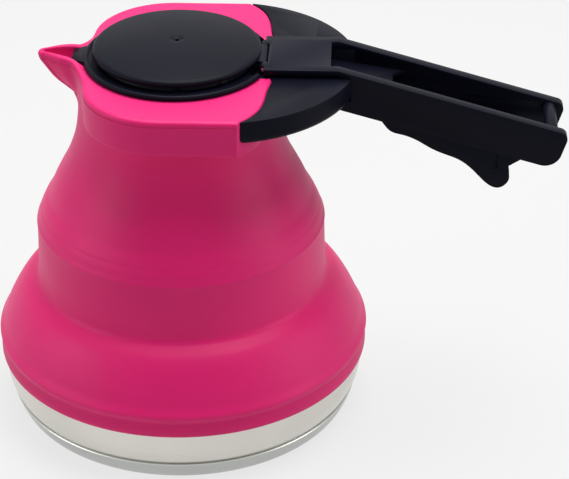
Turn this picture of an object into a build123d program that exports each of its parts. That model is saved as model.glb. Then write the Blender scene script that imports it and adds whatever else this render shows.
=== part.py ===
"""Collapsible kettle: steel pan, silicone body that folds in two tiers, trigger-opened lid, open handle."""
import math
import os

from build123d import *

# Fits and allowances
cut_over = 2.0
joint_gap = 0.05
pin_fit = 0.05

# Steel pan, from its outer radius and its floor
pan_r = 75.6
pan_wall = 0.8
pan_floor_z = 5.0
pan_corner_run = 11.6
pan_corner_high = 16.0
pan_side_high = 7.6
corner_shares = [(0.0, 0.0), (0.42, 0.09), (0.73, 0.32), (0.9, 0.56), (0.985, 0.8), (1.0, 1.0)]
pan_floor_r = pan_r - pan_corner_run
pan_side_z = pan_floor_z + pan_corner_high
pan_rim_z = pan_side_z + pan_side_high

# Steel base plate with its heat-spreading core
foot_out = 2.0
foot_cup_high = 4.8
foot_shares = [(0.0, 0.0), (0.52, 0.22), (0.82, 0.6), (1.0, 1.0)]
foot_edge_gain = 0.7
base_skin = 0.6
base_core_inset = 1.5
foot_r = pan_floor_r + foot_out
foot_top_z = pan_floor_z + foot_cup_high
base_core_r = pan_floor_r - base_core_inset

# Silicone base ring, which hooks over the pan's rim
lip_drop = 2.8
lip_out = 2.0
base_ring_high = 7.4
base_ring_wall = 3.0
inner_leg_wall = 2.4
inner_leg_deep = 7.6
lip_shares = [
    (0.45, 0.0), (0.83, 0.08), (0.9, 0.27), (0.62, 0.53), (0.58, 0.67), (0.95, 0.82), (1.08, 0.92),
]
lip_z = pan_rim_z - lip_drop
base_ring_r = pan_r + lip_out
base_ring_z = pan_rim_z + base_ring_high
inner_leg_z = pan_rim_z - inner_leg_deep

# Steel ring that holds the silicone on the pan
clamp_wall = 0.9
clamp_below_leg = 0.6
clamp_above_rim = 1.8
clamp_low_z = inner_leg_z - clamp_below_leg
clamp_top_z = pan_rim_z + clamp_above_rim

# Silicone folds and middle ring, from the ring's foot upward and inward
mid_foot_r = 62.6
lower_fold_high = 22.8
mid_foot_in = 2.5
mid_foot_high = 4.8
mid_wall_in = 0.5
mid_wall_high = 22.8
mid_top_in = 2.2
mid_top_high = 6.5
upper_fold_high = 28.1
root_wall = 3.0
web_wall = 2.2
mid_wall = 3.4
mid_ledge_drop = 1.1
mid_ledge_lead = 0.3
mid_groove_in = 0.9
mid_top_lead = 0.2
lower_fold_shares = [(0.113, 0.132), (0.22, 0.307), (0.387, 0.526), (0.567, 0.724), (0.773, 0.89)]
mid_foot_shares = [(0.55, 0.22), (0.9, 0.55)]
mid_foot_start_shares = (-1, 0.7)
upper_fold_shares = [(0.11, 0.065), (0.245, 0.18), (0.405, 0.36), (0.583, 0.538), (0.806, 0.751)]
mid_foot_z = base_ring_z + lower_fold_high
mid_wall_r = mid_foot_r - mid_foot_in
mid_wall_z = mid_foot_z + mid_foot_high
mid_ledge_r = mid_wall_r - mid_wall_in
mid_ledge_z = mid_wall_z + mid_wall_high
mid_top_r = mid_ledge_r - mid_top_in
mid_top_z = mid_ledge_z + mid_top_high

# Silicone neck
neck_r = 40.6
neck_foot_out = 2.9
neck_high = 21.0
tube_wall = 3.0
tube_top_drop = 6.8
neck_shares = [(0.55, 0.28), (0.86, 0.57), (1.0, 0.8)]
neck_foot_r = neck_r + neck_foot_out
neck_foot_z = mid_top_z + upper_fold_high

# Silicone rim round the mouth
rim_high = 15.0
rim_overhang = 13.9
rim_front_in = 4.6
rim_corner_r = 32.0
rim_skin = 3.6
rim_edge_round = 1.2
mouth_ledge = 7.2
rim_low_z = neck_foot_z + neck_high
rim_z = rim_low_z + rim_high
rim_half_width = neck_r + rim_overhang
rim_front_x = rim_front_in - neck_r
mouth_r = neck_r - mouth_ledge
tube_top_z = rim_z - tube_top_drop

# Line on the top face where the silicone rim meets the handle collar, as shares of the rim's half width
seam_shares = [
    (0.4734, 1.0165), (0.5431, 0.9468), (0.5872, 0.8881), (0.6239, 0.8183), (0.6459, 0.7523),
    (0.6624, 0.6789), (0.6734, 0.5963), (0.6789, 0.5229), (0.6899, 0.4404), (0.7046, 0.3578),
    (0.7083, 0.2936),
]
seam_inner_share = 0.33

# Spout: levels are shares of the rim's height, then of the run to the tip, then of the widths
spout_root_in = 3.0
spout_reach = 21.4
spout_tip_round = 2.6
spout_lip_rise = 3.4
spout_level_shares = [(0.04, 0.395, 0.95), (0.4467, 0.697, 0.9), (0.9867, 0.926, 0.95), (1.4333, 1.0, 1.0)]
spout_width_shares = [(0.0, 1.0), (0.19, 0.6222), (0.35, 0.4089), (0.615, 0.2844)]
spout_lip_shares = [(0.0, 0.0), (0.1, 0.278), (0.28, 0.759), (0.47, 0.926), (0.68, 1.0), (1.06, 0.963)]
channel_root_in = 7.0
channel_tip_wall = 2.8
channel_root_half = 14.0
channel_tip_round = 1.4
channel_level_shares = [(0.36, 0.5, 0.4), (0.6667, 0.78, 0.7), (1.0, 0.955, 0.95), (1.5, 1.0, 1.0)]
channel_width_shares = [(0.0, 1.0), (0.215, 0.7429), (0.35, 0.5714), (0.51, 0.4), (0.7, 0.2857)]
spout_root_x = rim_front_x + spout_root_in
spout_root_half = rim_half_width - rim_corner_r
spout_tip_x = rim_front_x - spout_reach
channel_root_x = rim_front_x + channel_root_in
channel_tip_x = spout_tip_x + channel_tip_wall
spout_high_z = rim_low_z + spout_level_shares[-1][0] * rim_high

# Lid link, its pins and the crank arm that pushes it
link_half = 1.0
link_side_gap = 0.2
link_end_gap = 0.7
link_high = 2.2
link_slack = 0.45
link_eye_wall = 0.65
link_pin_r = 0.75
crank_eye_wall = 0.95
arm_cheek = 2.2
finger_cheek = 1.2
crank_eye_r = link_pin_r + crank_eye_wall
link_front_eye_r = link_pin_r + link_slack + link_eye_wall
arm_half = link_half + link_side_gap + arm_cheek
finger_half = link_half + link_side_gap + finger_cheek

# Handle collar
collar_x = 17.6
collar_deep = 10.0
collar_top_wall = 3.0
collar_skirt_wall = 2.6
collar_low_round = 2.6
collar_core_gap = 2.35
hoop_in_gap = 0.15
hoop_wall = 2.4
hoop_below_rim = 12.5
hoop_top_drop = 4.5
hoop_room = 0.25
hoop_end_share = 0.4926
link_slot_gap = 0.1
link_slot_deep = 3.4
slot_wall = 1.8
arm_slot_gap = 1.6
arm_slot_front = 7.0
collar_r = rim_half_width
collar_rear_x = collar_x + collar_r
collar_side_x = collar_rear_x + collar_r
collar_low_z = rim_z - collar_deep
hoop_in_r = neck_r + hoop_in_gap
hoop_r = hoop_in_r + hoop_wall
hoop_low_z = rim_z - hoop_below_rim
hoop_top_z = rim_z - hoop_top_drop
hoop_end_x = -neck_r * hoop_end_share
collar_core_r = hoop_r + collar_core_gap
link_slot_half = arm_half + link_slot_gap
link_slot_z = rim_z - link_slot_deep
arm_slot_half = arm_half + arm_slot_gap

# Handle frame, placed from the collar's rear edge
plate_half = 15.5
plate_thick = 3.5
plate_rear_in = 10.4
plate_front_gap = 1.8
plate_skin = 1.1
plate_wall = 2.0
undercut_depth = 1.5
undercut_high = 1.3
rail_wall = 4.5
rail_depth = 17.0
rail_bend_run = 3.1
rail_slope = 16.2
rail_run = 95.8
rail_low_round = 6.8
rail_top_round = 3.2
web_front_drop = 7.5
web_drop = 4.2
web_run = 24.8
web_thick = 2.0
web_round = 6.0
plate_z = rim_z + plate_thick
plate_under_z = plate_z - plate_skin
plate_rear_x = collar_rear_x - plate_rear_in
plate_front_r = mouth_r + plate_front_gap
slope_tan = math.tan(math.radians(rail_slope))
rail_gap_half = plate_half - rail_wall
rail_bend_x = plate_rear_x + rail_bend_run
rail_end_x = plate_rear_x + rail_run
rail_low_x = rail_end_x - rail_depth * slope_tan
web_front_z = plate_z - web_front_drop
web_end_x = plate_rear_x + web_run
web_fall = web_drop / web_run

# Rod across the handle's end
rod_r = 2.6
rod_inset = 6.8
rod_below_edge = 3.24
rod_shoulder = 0.8
rod_spigot = 2.0
rod_spigot_r = rod_r - rod_shoulder
rod_x = rail_end_x - rod_inset
rod_z = plate_z - (rod_x - rail_bend_x) * slope_tan - rod_below_edge

# Trigger and its pin
pivot_behind_plate = 7.8
pivot_drop = 12.2
pivot_pin_r = 1.5
pivot_sink = 2.2
hub_wall = 1.9
lever_run = 71.6
lever_side_gap = 1.2
lever_wall = 2.3
lever_low_shares = [
    (0.0419, -0.0394), (0.1187, -0.0694), (0.18, -0.1312), (0.232, -0.1918), (0.3, -0.214),
    (0.375, -0.244), (0.466, -0.2991), (0.5321, -0.3293), (0.6131, -0.3626), (0.6899, -0.4196),
    (0.7668, -0.5015), (0.8073, -0.5329), (0.8478, -0.5429), (0.8813, -0.528), (0.9092, -0.4743),
    (0.9064, -0.4297), (0.9022, -0.4019), (0.9818, -0.3509), (1.0, -0.3155),
]
lever_curve_count = 15
lever_top_shares = [
    (0.9637, -0.276), (0.838, -0.2569), (0.6145, -0.1959), (0.3771, -0.1296), (0.2095, -0.0586),
    (0.0838, 0.019), (0.0, 0.0363),
]
lever_groove_share = 0.8324
lever_groove_low_share = 0.419
lever_groove_wide = 1.2
lever_groove_deep = 0.7
crank_before_plate = 5.7
crank_below_rim = 0.7
crank_arm_wide = 4.2
crank_bar_low = 1.4
crank_bar_high = 3.4
pivot_x = plate_rear_x + pivot_behind_plate
pivot_z = rim_z - pivot_drop
hub_r = pivot_pin_r + hub_wall
lever_half = rail_gap_half - lever_side_gap
crank_x = plate_rear_x - crank_before_plate
crank_z = rim_z - crank_below_rim
arm_slot_front_x = crank_x - arm_slot_front

# Trigger spring
spring_behind_pivot = 10.0
spring_r = 2.5
spring_wire_r = 0.4
spring_turns = 5.0
spring_steps_per_turn = 12
spring_seat_drop = 3.7
spring_x = pivot_x + spring_behind_pivot
spring_seat_z = pivot_z - spring_seat_drop

# Lid hinge
hinge_behind_mouth = 1.5
hinge_above_rim = 2.0
hinge_pin_r = 0.8
knuckle_wall = 0.8
ear_gap = 0.2
ear_inset = 3.5
ear_wide = 4.0
crank_pin_reach = 2.2
crank_pin_angle = 60.0
finger_r = 1.4
hinge_x = mouth_r + hinge_behind_mouth
hinge_z = rim_z + hinge_above_rim
knuckle_r = hinge_pin_r + knuckle_wall
ear_half = plate_half - ear_inset
lid_knuckle_half = ear_half - ear_wide
crank_pin_x = hinge_x + crank_pin_reach * math.cos(math.radians(crank_pin_angle))
crank_pin_z = hinge_z - crank_pin_reach * math.sin(math.radians(crank_pin_angle))
link_slot_run = plate_rear_x - plate_wall - hinge_x

# Lid base
plug_gap = 0.8
plug_taper = 1.0
plug_wall = 1.6
plug_deep = 9.0
lid_overhang = 4.4
lid_rest_gap = 0.05
flange_thick = 1.7
bead_r = 1.15
lid_core_in = 1.4
lid_floor_drop = 1.6
lid_floor = 1.8
lid_cap_gap = 0.7
lid_back_gap = 0.8
lid_back_step = 0.1
tab_root_out = 0.6
tab_out = 4.2
tab_root_half = 9.4
tab_tip_half = 4.6
tab_round = 1.2
seal_above_plug = 1.6
seal_high = 1.9
seal_out = 0.3
seal_depth = 0.9
plug_r = mouth_r - plug_gap
plug_low_r = plug_r - plug_taper
plug_low_z = rim_z - plug_deep
lid_r = mouth_r + lid_overhang
lid_low_z = rim_z + lid_rest_gap
flange_top_z = lid_low_z + flange_thick
lid_core_r = plug_r - lid_core_in
lid_floor_z = rim_z - lid_floor_drop
lid_cap_z = plate_z + lid_cap_gap
lid_back_r = plug_r + lid_back_step
lid_back_half = plate_half + lid_back_gap
tab_root_x = -mouth_r - tab_root_out
tab_tip_x = -lid_r - tab_out
seal_low_z = plug_low_z + seal_above_plug
seal_groove_r = plug_r - seal_depth - joint_gap

# Lid cap
cap_overhang = 2.6
cap_rim = 1.9
cap_crown = 4.9
cap_arc_share = 0.75
cap_round = 0.7
vent_r = 0.9
vent_dimple_r = 2.2
vent_dimple = 0.5
cap_r = lid_core_r + cap_overhang
cap_rim_z = lid_cap_z + cap_rim
cap_top_z = lid_cap_z + cap_crown
cap_middle_z = cap_rim_z + (cap_top_z - cap_rim_z) * cap_arc_share

# Screws
screw_r = 1.4
screw_head_out = 1.2
screw_head = 1.6
screw_tip_skin = 0.9
lid_screw_in = 9.2
lid_screw_count = 3
lid_boss_out = 1.0
collar_screw_inset = 5.1
screw_head_r = screw_r + screw_head_out
lid_screw_ring_r = lid_core_r - lid_screw_in
lid_boss_r = screw_head_r + lid_boss_out
collar_screw_x = crank_x
collar_screw_y = plate_half - collar_screw_inset


def between(start, end, shares):
    """Points from start to end, each a share of the way out and up."""
    middle = [(start[0] + s * (end[0] - start[0]), start[1] + t * (end[1] - start[1])) for s, t in shares]
    return [start, *middle, end]


def inner_side(points, wall, root):
    """Points one wall thickness inside a turned outline, level with its ends."""
    inside = []
    last = len(points) - 1
    for i, (r, z) in enumerate(points):
        before, after = points[max(i - 1, 0)], points[min(i + 1, last)]
        along = Vector(after[0] - before[0], after[1] - before[1]).normalized()
        inside.append((r - wall * along.Y, z + wall * along.X))
    inside[0] = (points[0][0] - root, points[0][1])
    inside[last] = (points[last][0] - root, points[last][1])
    return inside


def skin(outer, inner):
    """Closed face between two curves, drawn on the upright plane."""
    with BuildSketch(Plane.XZ) as face:
        with BuildLine():
            Spline(*outer)
            Line(outer[-1], inner[-1])
            Spline(*reversed(inner))
            Line(inner[0], outer[0])
        make_face()
    return face.sketch


def prow(root_x, tip_x, widths, width_share, tip_round):
    """Pointed plan outline, open side toward the mouth."""
    run = tip_x - root_x
    near = [(root_x + s * run, -w * width_share) for s, w in widths]
    round_r = tip_round * width_share
    near.append((tip_x + round_r, -round_r))
    far = [(x, -y) for x, y in near]
    with BuildSketch() as face:
        with BuildLine():
            Spline(*near)
            ThreePointArc(near[-1], (tip_x, 0), far[-1])
            Spline(*reversed(far))
            Line(far[0], near[0])
        make_face()
    return face.sketch


def prow_loft(level_shares, root_x, tip_x, widths, tip_round, mode):
    """Pointed solid through plan outlines at several levels, added or taken away."""
    sections = []
    for level_share, run_share, width_share in level_shares:
        end_x = root_x + run_share * (tip_x - root_x)
        with BuildSketch(Plane.XY.offset(rim_low_z + level_share * rim_high)) as outline:
            add(prow(root_x, end_x, widths, width_share, tip_round))
        sections.append(outline.sketch.face())
    loft(sections, mode=mode)


def before_front(mode):
    """Block in front of the rim's front face, all round the spout."""
    with BuildSketch(Plane.XY.offset(rim_low_z)) as block:
        with Locations((rim_front_x, 0)):
            Rectangle(-spout_tip_x, rim_half_width * 2, align=(Align.MAX, Align.CENTER))
    extrude(block.sketch, amount=spout_high_z - rim_low_z, mode=mode)


def seam_side(shift=0):
    """Plan region behind the seam, where the handle collar forms the top."""
    far = [(x * rim_half_width + shift, y * rim_half_width) for x, y in seam_shares]
    inner_x = seam_inner_share * rim_half_width
    near = [(x, -y) for x, y in far]
    reach = rim_half_width + cut_over
    with BuildSketch() as face:
        with BuildLine():
            Spline(*far)
            Polyline(far[-1], (inner_x, far[-1][1]), (inner_x, near[-1][1]), near[-1])
            Spline(*reversed(near))
            Polyline(
                near[0], (near[0][0], -reach), (collar_side_x, -reach), (collar_side_x, reach),
                (far[0][0], reach), far[0],
            )
        make_face()
    return face.sketch


def rim_plan(inset=0):
    """Plan outline of the silicone rim without the spout, moved in by an inset."""
    half = rim_half_width - inset
    with BuildSketch() as face:
        with Locations((rim_front_x + inset, 0)):
            Rectangle(collar_rear_x - rim_front_x, half * 2, align=(Align.MIN, Align.CENTER))
        fillet(face.vertices().group_by(Axis.X)[0], rim_corner_r - inset)
        Circle(neck_r)
        add(seam_side(-inset), mode=Mode.SUBTRACT)
    return face.sketch


def rod_between(x, z, radius, half_length, mode=Mode.ADD):
    """Round bar across the part, centred on the middle plane."""
    with BuildSketch(Plane.XZ) as section:
        with Locations((x, z)):
            Circle(radius)
    extrude(section.sketch, amount=half_length, both=True, mode=mode)


def disc(radius, low_z, high_z, mode=Mode.ADD):
    """Round bar or hole about the body's axis, between two heights."""
    with BuildSketch(Plane.XY.offset(low_z)) as section:
        Circle(radius)
    extrude(section.sketch, amount=high_z - low_z, mode=mode)


def slot(front_x, rear_x, half, low_z, high_z):
    """Straight slot along the middle plane, cut between two heights."""
    with BuildSketch(Plane.XY.offset(low_z)) as section:
        with Locations((front_x, 0)):
            Rectangle(rear_x - front_x, half * 2, align=(Align.MIN, Align.CENTER))
    extrude(section.sketch, amount=high_z - low_z, mode=Mode.SUBTRACT)


def side_face(points):
    """Straight-sided face on the upright plane."""
    with BuildSketch(Plane.XZ) as face:
        with BuildLine():
            Polyline(*points, close=True)
        make_face()
    return face.sketch


def side_plate(points, half, mode=Mode.ADD):
    """Straight-sided plate or cut, centred on the middle plane."""
    extrude(side_face(points), amount=half, both=True, mode=mode)


def turned_ring(points, mode=Mode.ADD):
    """Ring or groove turned about the body's axis."""
    revolve(side_face(points), axis=Axis.Z, mode=mode)


def collar_screw_pair(radius, low_z, high_z, mode=Mode.ADD):
    """Upright bars or holes where the collar's two screws stand."""
    with BuildSketch(Plane.XY.offset(low_z)) as section:
        with Locations((collar_screw_x, -collar_screw_y), (collar_screw_x, collar_screw_y)):
            Circle(radius)
    extrude(section.sketch, amount=high_z - low_z, mode=mode)


def lid_screw_ring(radius, low_z, high_z, mode=Mode.ADD):
    """Upright bars or holes where the lid's screws stand."""
    with BuildSketch(Plane.XY.offset(low_z)) as section:
        with PolarLocations(lid_screw_ring_r, lid_screw_count):
            Circle(radius)
    extrude(section.sketch, amount=high_z - low_z, mode=mode)


def cut_hinge_front():
    """Rounds the hinge plate's front off to the lid and opens it for the lid's knuckle."""
    disc(plate_front_r, rim_z, plate_z, Mode.SUBTRACT)
    front_run = plate_front_r - hinge_x + knuckle_r + ear_gap
    slot(plate_front_r - front_run, plate_front_r + front_run, lid_knuckle_half + ear_gap, rim_z, plate_z)


def cut_frame_undercut():
    """Shadow step along both sides of the hinge plate, where it meets the collar."""
    with BuildSketch(Plane.XY.offset(rim_z)) as section:
        with Locations((0, plate_half - undercut_depth)):
            Rectangle(rail_bend_x, undercut_depth + cut_over, align=(Align.MIN, Align.MIN))
        mirror(about=Plane.XZ)
    extrude(section.sketch, amount=undercut_high, mode=Mode.SUBTRACT)


def cut_frame_bores():
    """Bores for the hinge pins, the end rod, the trigger pin and the collar's screws."""
    rod_between(hinge_x, hinge_z, hinge_pin_r, ear_half, Mode.SUBTRACT)
    rod_between(rod_x, rod_z, rod_spigot_r, rail_gap_half + rod_spigot, Mode.SUBTRACT)
    rod_between(pivot_x, pivot_z, pivot_pin_r, rail_gap_half + pivot_sink, Mode.SUBTRACT)
    collar_screw_pair(screw_r, rim_z, plate_z - screw_tip_skin, Mode.SUBTRACT)


def add_lid_knuckle():
    """Knuckle that turns on the hinge pins, joined to the lid's core."""
    rod_between(hinge_x, hinge_z, knuckle_r, lid_knuckle_half)
    side_plate([
        (hinge_x, hinge_z + knuckle_r), (hinge_x, lid_low_z), (lid_core_r - lid_floor, lid_low_z),
        (lid_core_r - lid_floor, hinge_z + knuckle_r),
    ], lid_knuckle_half)


def add_lid_finger():
    """Forked finger below the knuckle that the link pushes, with the bores of both pins."""
    rod_between(crank_pin_x, crank_pin_z, finger_r, finger_half)
    side_plate([
        (hinge_x - finger_r, hinge_z), (crank_pin_x - finger_r, crank_pin_z),
        (crank_pin_x + finger_r, crank_pin_z), (hinge_x + finger_r, hinge_z),
    ], finger_half)
    fork_half = link_front_eye_r + link_end_gap
    side_plate([
        (crank_pin_x - fork_half, crank_pin_z - fork_half),
        (crank_pin_x + fork_half, crank_pin_z - fork_half),
        (crank_pin_x + fork_half, crank_pin_z + fork_half),
        (crank_pin_x - fork_half, crank_pin_z + fork_half),
    ], link_half + link_side_gap, Mode.SUBTRACT)
    rod_between(hinge_x, hinge_z, hinge_pin_r + pin_fit, lid_knuckle_half, Mode.SUBTRACT)
    rod_between(crank_pin_x, crank_pin_z, link_pin_r, finger_half, Mode.SUBTRACT)


def pan_outline(inner):
    """Section of the pan, solid or with its room left empty."""
    with BuildSketch(Plane.XZ) as face:
        with BuildLine():
            Line((0, pan_floor_z), pan_outer[0])
            Spline(*pan_outer, tangents=[(1, 0), (0, 1)])
            Line(pan_outer[-1], (pan_r, pan_rim_z))
            if inner:
                Polyline((pan_r, pan_rim_z), (pan_r - pan_wall, pan_rim_z), pan_inner[-1])
                Spline(*reversed(pan_inner), tangents=[(0, -1), (-1, 0)])
                Line(pan_inner[0], (0, pan_floor_z + pan_wall))
                Line((0, pan_floor_z + pan_wall), (0, pan_floor_z))
            else:
                Polyline((pan_r, pan_rim_z), (0, pan_rim_z), (0, pan_floor_z))
        make_face()
    return face.sketch


def rail_line(x, drop):
    """Height of the rails' top edge at x, less a drop."""
    return plate_z - (x - rail_bend_x) * slope_tan - drop


def from_pivot(points):
    """Places from the trigger pivot in the upright plane, given as shares of the lever's run."""
    return [(pivot_x + x * lever_run, pivot_z + z * lever_run) for x, z in points]


os.makedirs("parts", exist_ok=True)

# Steel base plate, a capsule that covers the pan's lower corner
pan_outer = between((pan_floor_r, pan_floor_z), (pan_r, pan_side_z), corner_shares[1:-1])
pan_inner = inner_side([(r, -z) for r, z in reversed(pan_outer)], pan_wall, pan_wall)
pan_inner = [(r, -z) for r, z in reversed(pan_inner)]
pan_inner[0] = (pan_floor_r, pan_floor_z + pan_wall)


foot_top_r = pan_floor_r + (pan_r - pan_floor_r) * corner_shares[2][0] + foot_edge_gain
foot_outer = between((foot_r, 0), (foot_top_r, foot_top_z), foot_shares[1:-1])
with BuildPart() as base_plate:
    with BuildSketch(Plane.XZ):
        with BuildLine():
            Line((0, 0), foot_outer[0])
            Spline(*foot_outer)
            Polyline(foot_outer[-1], (0, foot_top_z), (0, 0))
        make_face()
    revolve(axis=Axis.Z)
    with BuildSketch(Plane.XZ):
        add(pan_outline(False))
    revolve(axis=Axis.Z, mode=Mode.SUBTRACT)
    disc(base_core_r + joint_gap, base_skin, pan_floor_z, Mode.SUBTRACT)
base_plate.part.label = "base_plate"
export_step(base_plate.part, "parts/base_plate.step")

# Heat-spreading core, sealed between the base plate and the pan's floor
with BuildPart() as base_core:
    disc(base_core_r, base_skin, pan_floor_z)
base_core.part.label = "base_core"
export_step(base_core.part, "parts/base_core.step")

# Steel pan
with BuildPart() as base_pan:
    with BuildSketch(Plane.XZ):
        add(pan_outline(True))
    revolve(axis=Axis.Z)
base_pan.part.label = "base_pan"
export_step(base_pan.part, "parts/base_pan.step")

# Silicone base ring, hooked over the pan's rim
lip_outer = between((pan_r + joint_gap, lip_z), (base_ring_r, base_ring_z), lip_shares)
leg_out_r = pan_r - pan_wall - joint_gap
leg_in_r = leg_out_r - inner_leg_wall
ring_in_r = base_ring_r - base_ring_wall
with BuildPart() as silicone_base_ring:
    with BuildSketch(Plane.XZ):
        with BuildLine():
            Spline(*lip_outer)
            Line(lip_outer[-1], (ring_in_r, base_ring_z))
            Spline((ring_in_r, base_ring_z), (leg_in_r, clamp_top_z), tangents=[(0, -1), (0, -1)])
            Polyline(
                (leg_in_r, clamp_top_z), (leg_in_r, inner_leg_z), (leg_out_r, inner_leg_z),
                (leg_out_r, pan_rim_z + joint_gap), (pan_r + joint_gap, pan_rim_z + joint_gap),
                lip_outer[0],
            )
        make_face()
    revolve(axis=Axis.Z)
silicone_base_ring.part.label = "silicone_base_ring"
export_step(silicone_base_ring.part, "parts/silicone_base_ring.step")

# Steel clamp ring inside the silicone leg
with BuildPart() as clamp_ring:
    turned_ring([
        (leg_in_r, clamp_low_z), (leg_in_r, clamp_top_z), (leg_in_r - clamp_wall, clamp_top_z),
        (leg_in_r - clamp_wall, clamp_low_z),
    ])
clamp_ring.part.label = "clamp_ring"
export_step(clamp_ring.part, "parts/clamp_ring.step")

# Silicone lower fold
lower_outer = between((base_ring_r, base_ring_z), (mid_foot_r, mid_foot_z), lower_fold_shares)
with BuildPart() as silicone_lower_fold:
    with BuildSketch(Plane.XZ):
        add(skin(lower_outer, inner_side(lower_outer, web_wall, root_wall)))
    revolve(axis=Axis.Z)
silicone_lower_fold.part.label = "silicone_lower_fold"
export_step(silicone_lower_fold.part, "parts/silicone_lower_fold.step")

# Silicone middle ring, with a ledge and a neck groove at its top
foot_curve = between((mid_foot_r, mid_foot_z), (mid_wall_r, mid_wall_z), mid_foot_shares)
with BuildPart() as silicone_mid_ring:
    with BuildSketch(Plane.XZ):
        with BuildLine():
            Spline(*foot_curve, tangents=[mid_foot_start_shares, (0, 1)])
            Line(foot_curve[-1], (mid_ledge_r, mid_ledge_z - mid_ledge_drop))
            Polyline(
                (mid_ledge_r, mid_ledge_z - mid_ledge_drop), (mid_ledge_r - mid_ledge_lead, mid_ledge_z),
                (mid_ledge_r - mid_groove_in, mid_ledge_z + mid_ledge_drop),
                (mid_top_r + mid_top_lead, mid_top_z - root_wall), (mid_top_r, mid_top_z),
                (mid_top_r - root_wall, mid_top_z), (mid_ledge_r - mid_wall, mid_ledge_z),
                (mid_wall_r - mid_wall, mid_wall_z), (mid_foot_r - root_wall, mid_foot_z),
                foot_curve[0],
            )
        make_face()
    revolve(axis=Axis.Z)
silicone_mid_ring.part.label = "silicone_mid_ring"
export_step(silicone_mid_ring.part, "parts/silicone_mid_ring.step")

# Silicone upper fold
upper_outer = between((mid_top_r, mid_top_z), (neck_foot_r, neck_foot_z), upper_fold_shares)
with BuildPart() as silicone_upper_fold:
    with BuildSketch(Plane.XZ):
        add(skin(upper_outer, inner_side(upper_outer, web_wall, root_wall)))
    revolve(axis=Axis.Z)
silicone_upper_fold.part.label = "silicone_upper_fold"
export_step(silicone_upper_fold.part, "parts/silicone_upper_fold.step")

# Half widths of the spout and its channel along their run
spout_widths = [(s, w * spout_root_half) for s, w in spout_width_shares]
channel_widths = [(s, w * channel_root_half) for s, w in channel_width_shares]

# Silicone neck tube, open toward the spout at its top
neck_outer = between((neck_foot_r, neck_foot_z), (neck_r, rim_low_z), neck_shares)
neck_inner = [(r - tube_wall, z) for r, z in reversed(neck_outer)]
with BuildPart() as silicone_neck:
    with BuildSketch(Plane.XZ):
        with BuildLine():
            Spline(*neck_outer)
            Polyline(
                neck_outer[-1], (neck_r, tube_top_z), (neck_r - tube_wall, tube_top_z),
                neck_inner[0],
            )
            Spline(*neck_inner)
            Line(neck_inner[-1], neck_outer[0])
        make_face()
    revolve(axis=Axis.Z)
    prow_loft(
        channel_level_shares, channel_root_x, channel_tip_x, channel_widths, channel_tip_round,
        Mode.SUBTRACT,
    )
silicone_neck.part.label = "silicone_neck"
export_step(silicone_neck.part, "parts/silicone_neck.step")

# Wide rim and spout as one moulding, parted below at the rim's front
with BuildPart() as rim_moulding:
    with BuildSketch(Plane.XY.offset(rim_low_z)):
        add(rim_plan())
    extrude(amount=rim_z - rim_low_z)
    rim_edges = rim_moulding.edges().filter_by_position(Axis.Z, rim_z, rim_z)
    front_edges = rim_edges.filter_by_position(Axis.X, rim_front_x - cut_over, 0)
    fillet(front_edges + rim_edges.group_by(Axis.Y)[0] + rim_edges.group_by(Axis.Y)[-1], rim_edge_round)
    with BuildSketch(Plane.XY.offset(rim_low_z)):
        add(rim_plan(rim_skin))
        Circle(neck_r, mode=Mode.SUBTRACT)
    extrude(amount=rim_z - rim_low_z - rim_skin, mode=Mode.SUBTRACT)
    prow_loft(spout_level_shares, spout_root_x, spout_tip_x, spout_widths, spout_tip_round, Mode.ADD)
    with BuildSketch(Plane.XZ):
        with BuildLine():
            lip_line = [
                (rim_front_x - run * spout_reach, rim_z + rise * spout_lip_rise)
                for run, rise in spout_lip_shares
            ]
            Spline(*lip_line)
            Polyline(
                lip_line[-1], (lip_line[-1][0], spout_high_z + cut_over),
                (0, spout_high_z + cut_over), (0, rim_z), lip_line[0],
            )
        make_face()
    extrude(amount=rim_half_width, both=True, mode=Mode.SUBTRACT)
    disc(neck_r, rim_low_z, tube_top_z, Mode.SUBTRACT)
    disc(neck_r - tube_wall, rim_low_z, rim_z - rim_skin, Mode.SUBTRACT)
    disc(mouth_r, rim_low_z, spout_high_z, Mode.SUBTRACT)
    prow_loft(
        channel_level_shares, channel_root_x, channel_tip_x, channel_widths, channel_tip_round,
        Mode.SUBTRACT,
    )
    with BuildSketch(Plane.XY.offset(rim_low_z)):
        Circle(hoop_r + hoop_room)
        Circle(neck_r, mode=Mode.SUBTRACT)
        with Locations((hoop_end_x - hoop_room, 0)):
            Rectangle(neck_r, hoop_r * 2 + cut_over, align=(Align.MAX, Align.CENTER), mode=Mode.SUBTRACT)
    extrude(amount=hoop_top_z + hoop_room - rim_low_z, mode=Mode.SUBTRACT)

# Silicone rim, two halves joined through the neck
with BuildPart() as silicone_rim:
    add(rim_moulding.part)
    before_front(Mode.SUBTRACT)
silicone_rim.part.label = "silicone_rim"
export_step(silicone_rim.part, "parts/silicone_rim.step")

# Silicone spout, an open trough in front of the rim
with BuildPart() as silicone_spout:
    add(rim_moulding.part)
    before_front(Mode.INTERSECT)
silicone_spout.part.label = "silicone_spout"
export_step(silicone_spout.part, "parts/silicone_spout.step")

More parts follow.
